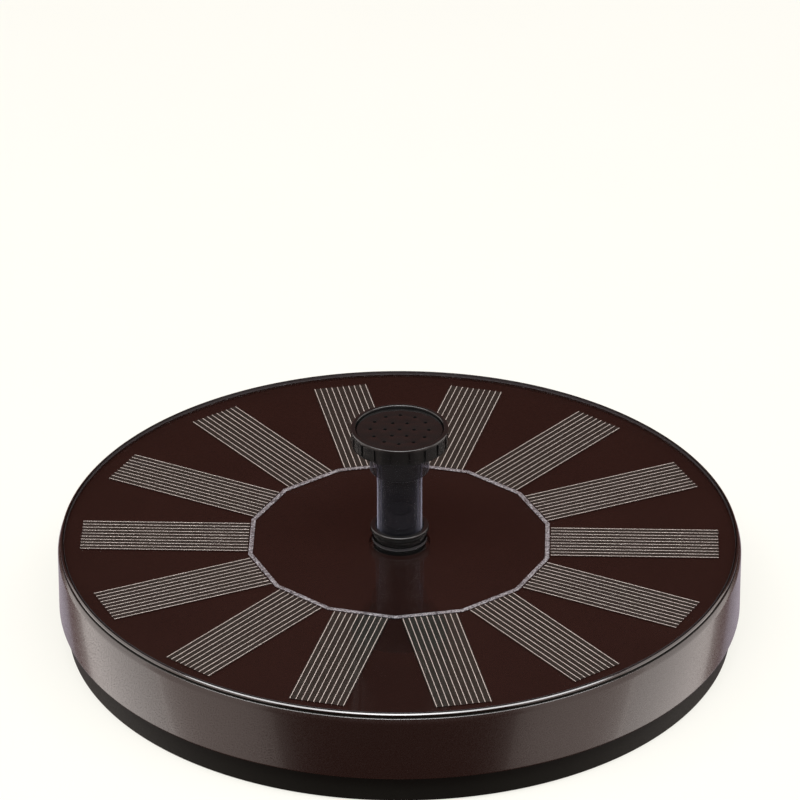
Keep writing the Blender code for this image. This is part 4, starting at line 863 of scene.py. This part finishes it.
# ---------------------------------------------------------------- strainer
# A black ABS disc with two rings of slots, pressed into the underside, over a flat black sponge cut
# from open-cell foam. It pulls straight off for cleaning.

STRAINER_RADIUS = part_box("strainer_cover")[1].x / MM
STRAINER_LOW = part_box("strainer_cover")[0].z / MM
SKIRT_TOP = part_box("strainer_cover")[1].z / MM
STRAINER_TOP = 2.0
SKIRT_INNER = 22.2
SLOT_END = 20.6
LONG_SLOT_START = 6.2
SHORT_SLOT_START = 12.4
SLOT_WIDTH = 1.8
SLOT_COUNT = 12
PLATE_JOIN = 21.6


def slot_outline(shape, inner, outer, width, angle):
    """Draws a slot with round ends that runs outwards at an angle, by pulling half a circle along."""
    made = bmesh.ops.create_circle(shape, cap_ends=False, radius=width / 2 * MM, segments=16)
    pulled = [vert for vert in made["verts"] if vert.co.x > 1e-7]
    bmesh.ops.translate(shape, verts=pulled, vec=((outer - inner - width) * MM, 0, 0))
    bmesh.ops.translate(shape, verts=made["verts"], vec=((inner + width / 2) * MM, 0, 0))
    bmesh.ops.rotate(shape, cent=(0, 0, 0), matrix=Matrix.Rotation(angle, 3, "Z"), verts=made["verts"])


slotted = bmesh.new()
circle_outline(slotted, PLATE_JOIN, segments=96)
for index in range(SLOT_COUNT):
    angle = 2 * math.pi * index / SLOT_COUNT
    slot_outline(slotted, LONG_SLOT_START, SLOT_END, SLOT_WIDTH, angle)
    slot_outline(slotted, SHORT_SLOT_START, SLOT_END, SLOT_WIDTH, angle + math.pi / SLOT_COUNT)
fill_plate(slotted, STRAINER_LOW, STRAINER_TOP)
skirt = turn(
    [
        (PLATE_JOIN, STRAINER_LOW),
        (STRAINER_RADIUS, STRAINER_LOW, 0.5),
        (STRAINER_RADIUS, SKIRT_TOP, 0.3),
        (SKIRT_INNER, SKIRT_TOP, 0.3),
        (SKIRT_INNER, STRAINER_TOP),
        (PLATE_JOIN, STRAINER_TOP),
    ],
    steps=96,
)
make_piece(
    "slotted_strainer", gather([slotted, skirt]), "strainer", [satin_abs_and_painted_shade], ["strainer_cover"]
)

# Open-cell polyester foam: a black net of strands, with pores about a millimetre across.
sponge_foam, tree, shader = start_material("open_cell_sponge", Roughness=0.95, IOR=1.45)
place = add(tree, "TexCoord")
pores = add(
    tree,
    "TexVoronoi",
    {"Vector": place.outputs["Object"], "Scale": 1 / (1.1 * MM)},
    feature="DISTANCE_TO_EDGE",
)
# The middles of the pores are painted near black and the strands lighter: painted shade down in the holes.
pore_shade_level = add(tree, "MapRange", {"Value": pores.outputs[0], "From Min": 0.02, "From Max": 0.2})
pore_shade_tone = two_tones(tree, pore_shade_level.outputs[0], "3b3a39", "070707")
pore_bump = add(
    tree, "Bump", {"Strength": 1.0, "Distance": 0.5 * MM, "Height": pores.outputs[0]}, invert=True
)
tree.links.new(pore_shade_tone, shader.inputs["Base Color"])
tree.links.new(pore_bump.outputs[0], shader.inputs["Normal"])

sponge_low, sponge_high = (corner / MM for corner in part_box("filter_sponge"))
sponge = turn(
    [
        (0, sponge_low.z),
        (sponge_high.x, sponge_low.z, 0.5),
        (sponge_high.x, sponge_high.z, 0.5),
        (0, sponge_high.z),
    ],
    steps=96,
)
make_piece("round_filter_sponge", sponge, "strainer", [sponge_foam], ["filter_sponge"])

# ---------------------------------------------------------------- outlet collar
# A turned-looking black ABS nut with a flange and a smaller step under it, screwed down on the pump's
# tower. It stands on the deck in the middle of the panel and guides the nozzle tube.

# ABS of the fittings: a deeper, more neutral black than the casing, with an even semi-gloss.
fitting_abs = moulded(
    "fitting_black_abs", "090909", "101010", 5, 0.25, (0.16, 0.28), 0.004, IOR=1.53, Specular_IOR_Level=0.4
)

COLLAR_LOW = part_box("outlet_collar")[0].z / MM
COLLAR_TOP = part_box("outlet_collar")[1].z / MM
COLLAR_NECK = 6.1
NECK_TOP = 24.9
BEAD_RADIUS = 6.5
BEAD_TOP = 25.45
FLANGE_NECK = 6.38
FLANGE_LOW = 25.85
FLANGE_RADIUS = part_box("outlet_collar")[1].x / MM
collar = turn(
    [
        (COLLAR_BORE, COLLAR_LOW),
        (COLLAR_NECK, COLLAR_LOW),
        (COLLAR_NECK, NECK_TOP),
        (BEAD_RADIUS, NECK_TOP + 0.15, 0.1),
        (BEAD_RADIUS, BEAD_TOP),
        (FLANGE_NECK, BEAD_TOP + 0.1),
        (FLANGE_NECK, FLANGE_LOW - 0.1),
        (FLANGE_RADIUS, FLANGE_LOW, 0.12),
        (FLANGE_RADIUS, COLLAR_TOP, 0.3),
        (COLLAR_BORE, COLLAR_TOP, 0.25),
    ],
    steps=96,
)
make_piece("flanged_outlet_collar", collar, "float", [fitting_abs], ["outlet_collar"])

# ---------------------------------------------------------------- nozzle tube and head socket
# A smoke-clear polycarbonate tube, extruded and cut, that pushes onto the pump's spigot over a rubber
# sleeve, with a moulded socket of the same clear plastic cemented on its top to carry the head.

ring_piece("spigot_sleeve", "nozzle_gasket", "nozzle_gasket", rubber, 0.15, 72)

# Smoke-tinted polycarbonate, polished by the die: clear face on, and a pale lavender grey edge on, which is
# partly haze and partly a painted highlight in place of the side lamps' reflection.
smoke_clear = clear_skin("smoke_clear_polycarbonate", "a6a4a8", 2, (0.14, 0.22), 0.01, "b6b8ce")
ring_piece("clear_nozzle_tube", "nozzle_tube", "nozzle", smoke_clear, 0.2, 96)

# The socket is moulded from the same plastic, and being thin it shows as little more than its edges, which
# carry a dim grey layer: partly haze and partly a painted highlight in place of the lamps' reflection.
socket_clear = clear_skin("smoke_clear_socket", "b9b6bf", 6, (0.28, 0.36), 0.01, "4a4b54")

SOCKET_BORE = 5.55
SOCKET_RADIUS = 6.95
SOCKET_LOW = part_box("head_socket")[0].z / MM
SOCKET_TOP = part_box("head_socket")[1].z / MM
CUP_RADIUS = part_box("head_socket")[1].x / MM
CUP_BORE = 8.0
CUP_FLOOR = 48.8
FLARE_DEPTH = 4.1
CUP_DEPTH = 2.0
socket = turn(
    [
        (SOCKET_BORE, SOCKET_LOW, 0.15),
        (SOCKET_RADIUS, SOCKET_LOW, 0.35),
        (SOCKET_RADIUS, SOCKET_TOP - FLARE_DEPTH, 0.6),
        (CUP_RADIUS, SOCKET_TOP - CUP_DEPTH, 0.4),
        (CUP_RADIUS, SOCKET_TOP, 0.15),
        (CUP_BORE, SOCKET_TOP, 0.15),
        (CUP_BORE, CUP_FLOOR + 0.6, 0.2),
        (SOCKET_BORE, CUP_FLOOR, 0.15),
    ],
    steps=96,
)
make_piece("flared_head_socket", socket, "nozzle", [socket_clear], ["head_socket"])

# ---------------------------------------------------------------- spray head
# A black ABS ring with a rolled lip and eighteen narrow finger grooves, screwed on the socket over a
# rubber washer, and the drilled black plate of jets that it holds.

ring_piece("head_washer", "cap_gasket", "cap_gasket", rubber, 0.1, 72)

CAP_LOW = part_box("spray_cap")[0].z / MM
CAP_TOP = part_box("spray_cap")[1].z / MM
CAP_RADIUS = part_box("spray_cap")[1].x / MM
CAP_SKIRT = 9.5
CAP_LEDGE = 51.3
CAP_LIP = 1.05
GROOVES = 18
GROOVE_DEPTH = 0.4
GROOVE_LOW = CAP_LOW + 0.5
GROOVE_TOP = CAP_TOP - 0.8
CAP_STEPS = 180
GROOVE_STEPS = 2

cap = turn(
    [
        (CAP_SKIRT, CAP_LOW, 0.12),
        (CAP_RADIUS, CAP_LOW, 0.25),
        (CAP_RADIUS, GROOVE_LOW),
        (CAP_RADIUS, GROOVE_TOP),
        (CAP_RADIUS, CAP_TOP, 0.3),
        (CAP_RADIUS - CAP_LIP, CAP_TOP, 0.3),
        (CAP_RADIUS - CAP_LIP, CAP_LEDGE),
        (CAP_SKIRT, CAP_LEDGE, 0.1),
    ],
    steps=CAP_STEPS,
)
step_angle = 2 * math.pi / CAP_STEPS
groove_radius = CAP_RADIUS - GROOVE_DEPTH
floor_of_groove = groove_radius / CAP_RADIUS
groove_faces = []
for face in cap.faces:
    middle = face.calc_center_median()
    outside = math.hypot(middle.x, middle.y) > groove_radius * MM
    on_band = outside and GROOVE_LOW * MM < middle.z < GROOVE_TOP * MM
    step = int((math.atan2(middle.y, middle.x) % (2 * math.pi)) / step_angle)
    if on_band and step % (CAP_STEPS // GROOVES) < GROOVE_STEPS:
        groove_faces.append(face)
pushed = bmesh.ops.extrude_face_region(cap, geom=groove_faces)
bmesh.ops.scale(
    cap,
    vec=(floor_of_groove, floor_of_groove, 1),
    verts=[part for part in pushed["geom"] if isinstance(part, bmesh.types.BMVert)],
)
bmesh.ops.delete(cap, geom=[face for face in groove_faces if face.is_valid], context="FACES_ONLY")
make_piece("grooved_head_ring", cap, "spray_cap", [fitting_abs], ["spray_cap"])

PLATE_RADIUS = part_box("spray_plate")[1].x / MM
JET_RADIUS = 0.45
JET_RING_STEP = 3.4
jets = bmesh.new()
circle_outline(jets, PLATE_RADIUS, segments=96)
circle_outline(jets, JET_RADIUS, segments=12)
for ring in (1, 2):
    for jet_place in ring_places(6 * ring, JET_RING_STEP * ring):
        circle_outline(jets, JET_RADIUS, jet_place, segments=12)
plate_low, plate_high = (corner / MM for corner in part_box("spray_plate"))
fill_plate(jets, plate_low.z, plate_high.z, edge=0.04)
make_piece("drilled_jet_plate", jets, "spray_cap", [fitting_abs], ["spray_plate"])
